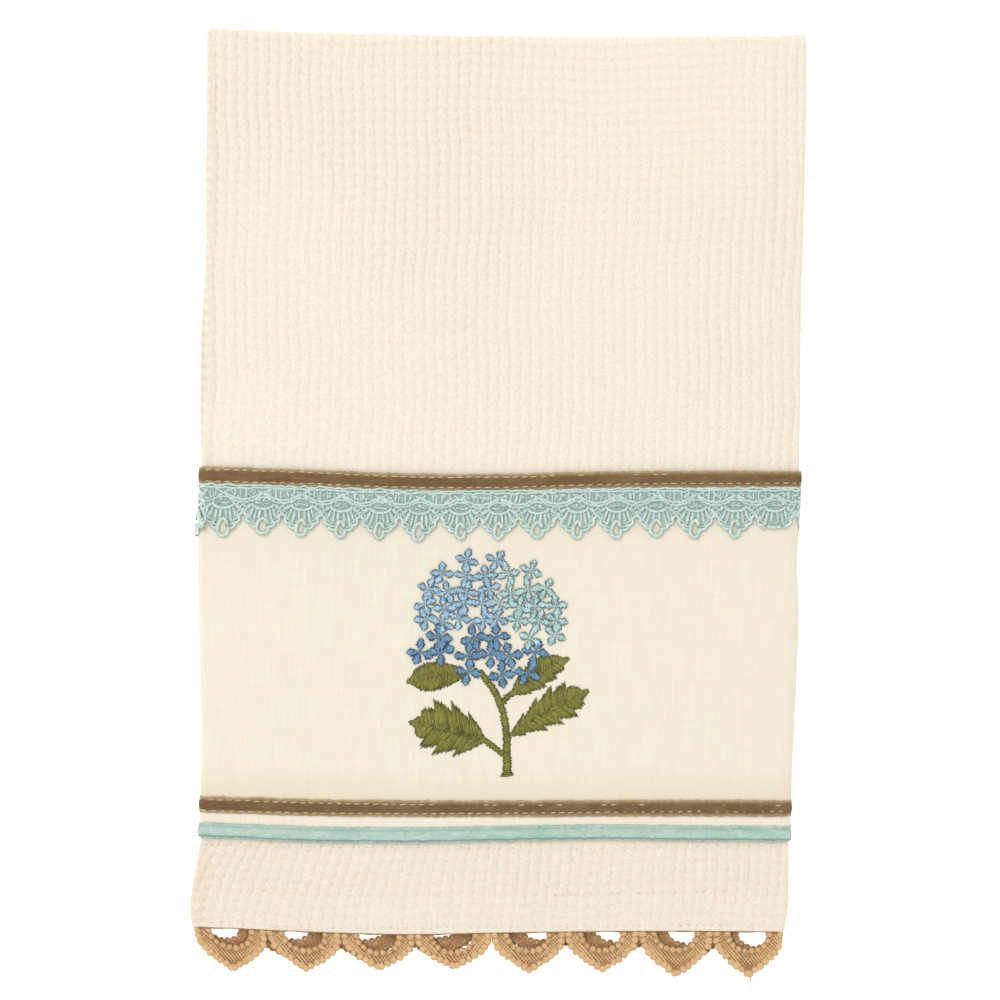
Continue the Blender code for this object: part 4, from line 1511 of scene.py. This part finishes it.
# START and END are a stalk's half-widths, and SLANT is how far its threads lean
STEM = ((-6.3, 216.0), (-1.2, 222.6), (1.0, 227.5), (2.7, 234.0), (3.5, 243.0), (3.6, 250.0))
STALKS = table(
    "points start end slant",
    (((1.2, 226.6), (3.2, 224.4), (6.2, 222.0)), 0.95, 0.95, 0.4),
    (((2.9, 244.6), (-0.6, 242.0), (-4.6, 239.0)), 0.85, 0.95, 0.4),
    (STEM, 0.95, 1.2, 0.4),
    (((3.6, 247.6), (3.6, 249.4), (3.6, 251.2)), 1.1, 1.9, 0.1),
)


def petal(middle, heading, size):
    """Satin threads laid across one oval petal, with ragged ends, and the thread that leads to it."""
    start, end = size * PETAL_START, size * PETAL_END
    count = round((end - start) * MM / (0.8 * SATIN))
    t = (np.arange(count) + 0.5) / count
    width = size * PETAL_WIDTH * np.sin(np.pi * (0.06 + 0.88 * t)) ** 1.1
    out = start + (end - start) * t
    axis = np.array([math.cos(heading), math.sin(heading)])
    beside = np.array([-axis[1], axis[0]])
    middle_line = np.array(middle) + out[:, None] * axis
    slanted = beside + 0.15 * axis
    left, right = [width[:, None] * chance.uniform(*PETAL_RAGGED, (count, 1)) * slanted for _ in range(2)]
    point = np.array([[end - 1.1], [end + 0.15]]) * axis + np.array(middle)
    root = np.array([[-0.1], [start + 0.3]]) * axis + np.array(middle)
    starts = np.concatenate([middle_line - left, point[:1], root[:1]])
    ends = np.concatenate([middle_line + right, point[1:], root[1:]])
    return starts * MM, ends * MM


def florets():
    """Each floret's middle and heading, on the flower head's staggered rows."""
    found = []
    for row in FLORET_ROWS:
        for across in np.linspace(-row.half, row.half, row.count):
            at = np.array([row.middle + across, row.down]) + chance.uniform(-1.0, 1.0, 2)
            found.append((at, chance.uniform(*FLORET_TURN)))
    return found


def flower_head():
    """The florets, as three pieces for their three blues."""
    threads = {"deep": [], "pale": [], "mid": []}
    lifts = {"deep": [], "pale": [], "mid": []}
    for at, heading in florets():
        deep = at[1] > DEEP_FROM or (at[0] < DEEP_LEFT_OF and at[1] > DEEP_LEFT_FROM)
        tint = "deep" if deep else "pale" if at[0] > PALE_FROM else "mid"
        lift = chance.uniform(0.0, FLORET_LIFT)
        for n in range(PETALS):
            turn = heading + n * TURN / PETALS + chance.normal(0, 0.14)
            threads[tint].append(petal(at, turn, SILKS[tint][0]))
            lifts[tint].append(np.full(len(threads[tint][-1][0]), lift))
    made = []
    for tint, pairs in threads.items():
        look = satin_look(tint + "_blue_silk", *SILKS[tint][1:], dives=(0.4, 0.98))
        shape = satin_stitching(pairs, 0.36 * MM, FLORET_BASE + np.concatenate(lifts[tint]), 1.3)
        made.append(piece("embroidered_florets_" + tint, shape, look))
    return made


def satin_stitching(pairs, arch, base=0.08 * MM, padding_shade=2.0):
    """Satin threads over padding painted darker, as shade, which shows between them but not past their ends.
    """
    starts, ends = together(pairs)
    tone = chance.random(len(starts)) ** 1.5
    width = SATIN_WIDTH * chance.uniform(0.85, 1.15, len(starts))
    over = stitches(starts, ends, width, SATIN_HEIGHT, PANEL_FACE + base, arch, tone)
    shorter = (ends - starts) * 0.07
    starts, ends = starts + shorter, ends - shorter
    low = PANEL_FACE + 0.6 * base
    padding = stitches(starts, ends, UNDERLAY_WIDTH, 0.05 * MM, low, 0.5 * arch, padding_shade)
    return joined([padding, over])


def broken(starts, ends, length):
    """Long threads as runs of short ones, their joints staggered as in a filled shape."""
    pieces = [[], []]
    for start, end in zip(starts, ends):
        run = np.linalg.norm(end - start)
        first = chance.uniform(0.3, 1.0) * length
        stops = np.concatenate([[0.0], np.arange(first, run - 0.35 * length, length), [run]]) / run
        for near, far in zip(stops, stops[1:]):
            pieces[0].append(start + (end - start) * max(0.0, near - OVERLAP / run))
            pieces[1].append(start + (end - start) * min(1.0, far + OVERLAP / run))
    return np.array(pieces[0]), np.array(pieces[1])


def leaf_length(leaf):
    return np.linalg.norm(np.subtract(leaf.tip, leaf.base))


def leaf_line(leaf, t):
    """Points on a leaf's midrib, and the directions along it and beside it."""
    base = np.array(leaf.base)
    run = np.array(leaf.tip) - base
    axis = run / leaf_length(leaf)
    beside = np.array([-axis[1], axis[0]])
    bowed = (leaf.bow * leaf_length(leaf) * np.sin(np.pi * t))[:, None] * beside
    return base + t[:, None] * run + bowed, axis, beside


def leaf_threads(leaf):
    """Satin threads from a leaf's midrib out to its edge, on both sides."""
    count = round(leaf_length(leaf) * MM / (SATIN * 0.88))
    t = (np.arange(count) + 0.5) / count
    line, axis, beside = leaf_line(leaf, t)
    starts, ends = [], []
    for side in (-1, 1):
        width = leaf.width * np.sin(np.pi * t**leaf.early) ** (0.6 + 0.5 * t)
        if leaf.teeth:
            saw = (t * (leaf.teeth + 0.5) + 0.3 * (side > 0)) % 1.0
            width = width * (1 - leaf.tooth * (1 - saw**0.8))
        spikes = chance.uniform(0.0, LEAF_SPIKES, count) + LEAF_EVERY_OTHER * (np.arange(count) % 2)
        width = width * (1 + 0.03 * chance.normal(size=count)) + spikes
        lean = LEAF_SLANT * np.minimum(1.0, (1 - t) * 4)
        reach = side * width[:, None] * beside + (width * lean)[:, None] * axis
        starts.append(line - side * chance.uniform(*LEAF_LINE, (count, 1)) * beside)
        ends.append(line + reach)
    return np.concatenate(starts) * MM, np.concatenate(ends) * MM


def midrib_threads(leaf):
    """Short slanted stitches that mark a leaf's midrib."""
    line, axis, beside = leaf_line(leaf, np.arange(0.06, 0.86, 1.7 / leaf_length(leaf)))
    reach = 0.42 * axis + 0.14 * beside
    return (line - reach) * MM, (line + reach) * MM


def stalk_threads(stalk):
    """Satin threads laid slantwise across a stalk."""
    count = round(run_lengths(np.array(stalk.points))[-1] * MM / (SATIN * 0.9))
    line = smooth_path(stalk.points, count)
    steps = np.gradient(line, axis=0)
    steps /= np.linalg.norm(steps, axis=1, keepdims=True)
    half = np.linspace(stalk.start, stalk.end, count)[:, None]
    slanted = stalk.slant * steps - sideways(steps)
    spikes = 0.22 * (np.arange(count) % 2)[:, None]
    left, right = [(half * chance.uniform(0.80, 1.30, (count, 1)) + spikes) * slanted for _ in range(2)]
    return (line - left) * MM, (line + right) * MM


def greenery():
    """The leaves, with the stalks over them."""
    whole = [leaf_threads(leaf) for leaf in LEAVES]
    starts, ends = broken(*together(whole), LEAF_STITCH)
    over = chance.random(len(starts)) < OVERSTITCHED
    tone = chance.random(over.sum()) ** 1.5
    high = PANEL_FACE + 0.14 * MM
    second = stitches(starts[over], ends[over], SATIN_WIDTH, SATIN_HEIGHT, high, 0.16 * MM, tone)
    leaves = joined([satin_stitching(whole, 0.16 * MM), second])
    stalks = satin_stitching([stalk_threads(stalk) for stalk in STALKS], 0.30 * MM, 0.14 * MM)
    starts, ends = together([midrib_threads(leaf) for leaf in LEAVES])
    ribs = stitches(starts, ends, 0.24 * MM, 0.10 * MM, PANEL_FACE + 0.30 * MM, 0.10 * MM, 1.1)
    look = satin_look("olive_silk", (163, 161, 80), (30, 29, 2), dives=(-0.2, 1.0), gloss=0.1)
    return piece("embroidered_leaves", joined([leaves, stalks, ribs]), look)


# ---------------------------------------------------------------------------------------------------
# Floor, light and camera

FLOOR_SIZE = 6.0
FLOOR_COLOURS = ([0.960, 0.960, 0.955, 1.0], [0.970, 0.970, 0.965, 1.0])
FLOOR_GLOW = 0.60  # a white table, lit from below as well
WORLD_LIGHT = 0.95

# Square lamps: watts, and a side and a place in metres
LAMPS = table(
    "name energy size location",
    ("key", 33.0, 1.5, (-0.95, 1.10, 2.05)),
    ("fill", 12.0, 1.8, (0.7, -1.4, 1.9)),
)

VIEW_MIDDLE = (0.5 * MM, 0.8 * MM)
LENS = 120.0
SENSOR = 36.0
VIEW_WIDTH = 340.0 * MM  # what the picture takes in at the face's height
VIEW_Z = 7.0 * MM


def floor():
    mesh = bpy.data.meshes.new("floor")
    half = FLOOR_SIZE / 2
    corners = [(-half, -half, 0.0), (half, -half, 0.0), (half, half, 0.0), (-half, half, 0.0)]
    mesh.from_pydata(corners, [], [(0, 1, 2, 3)])
    look = Look("pale_floor", 0.9, specular=0.1)
    look.set("Emission Color", FLOOR_COLOURS[0])
    look.set("Emission Strength", FLOOR_GLOW)
    mesh.materials.append(look.finish(look.mix(look.noise(3.0), *FLOOR_COLOURS)))
    put("floor", mesh)


def studio():
    """A white surround, two soft square lights that face the towel, and a camera straight above."""
    scene = bpy.context.scene
    scene.view_settings.view_transform = "Standard"
    world = bpy.data.worlds.new("studio")
    world.use_nodes = True
    background = world.node_tree.nodes["Background"]
    background.inputs["Color"].default_value = (1.0, 1.0, 1.0, 1.0)
    background.inputs["Strength"].default_value = WORLD_LIGHT
    scene.world = world
    for lamp in LAMPS:
        light = bpy.data.lights.new(lamp.name, "AREA")
        light.energy = lamp.energy
        light.size = lamp.size
        made = put(lamp.name, light, lamp.location)
        aim = made.location.copy()
        aim.negate()
        made.rotation_euler = aim.to_track_quat("-Z", "Y").to_euler()

    camera = bpy.data.cameras.new("camera")
    camera.lens = LENS
    camera.sensor_width = SENSOR
    scene.camera = put("camera", camera, (*VIEW_MIDDLE, VIEW_Z + LENS * VIEW_WIDTH / SENSOR))


# ---------------------------------------------------------------------------------------------------
# The towel, piece by piece, on its floor

towel = waffle_towel()
hem = hem_stitches()
panel = linen_panel()
brown = velvet_look(
    "brown_velvet_pile",
    core=(118, 91, 59),
    edge=(158, 135, 95),
    rim=(204, 182, 142),
    light=(150, 126, 90),
    glow=(0.75, 0.62, 0.42, 1.0),
    pile_and_groove_shade=(92, 68, 42),
    core_half=0.28,
    lit=0.32,
    lower_groove_shade=0.0,
)
aqua = velvet_look(
    "aqua_velvet_pile",
    core=(172, 204, 188),
    edge=(164, 198, 181),
    rim=(184, 208, 190),
    light=(204, 220, 208),
    glow=(0.85, 1.0, 0.97, 1.0),
    pile_and_groove_shade=(108, 152, 140),
    core_half=0.34,
    lit=0.70,
    lower_groove_shade=0.75,
)
upper, lower = [
    ribbon(f"{at}_velvet_ribbon", band, BROWN_PROFILE, at, brown, f"{at}_brown_ribbon")
    for at, band in (("upper", UPPER_VELVET), ("lower", LOWER_VELVET))
]
pale = ribbon("aqua_velvet_ribbon", AQUA_VELVET, AQUA_PROFILE, "aqua", aqua, "aqua_ribbon")
sewing = ribbon_stitches()
aqua_pieces = aqua_lace()
beige_pieces = beige_lace()
flower_pieces = flower_head() + [greenery()]

cloth_width = 2 * FOLD + LEFT_FLAP + RIGHT_FLAP
cloth_width - 2 * TRIM_END_INSET
PANEL.bottom - PANEL.top

floor()
studio()
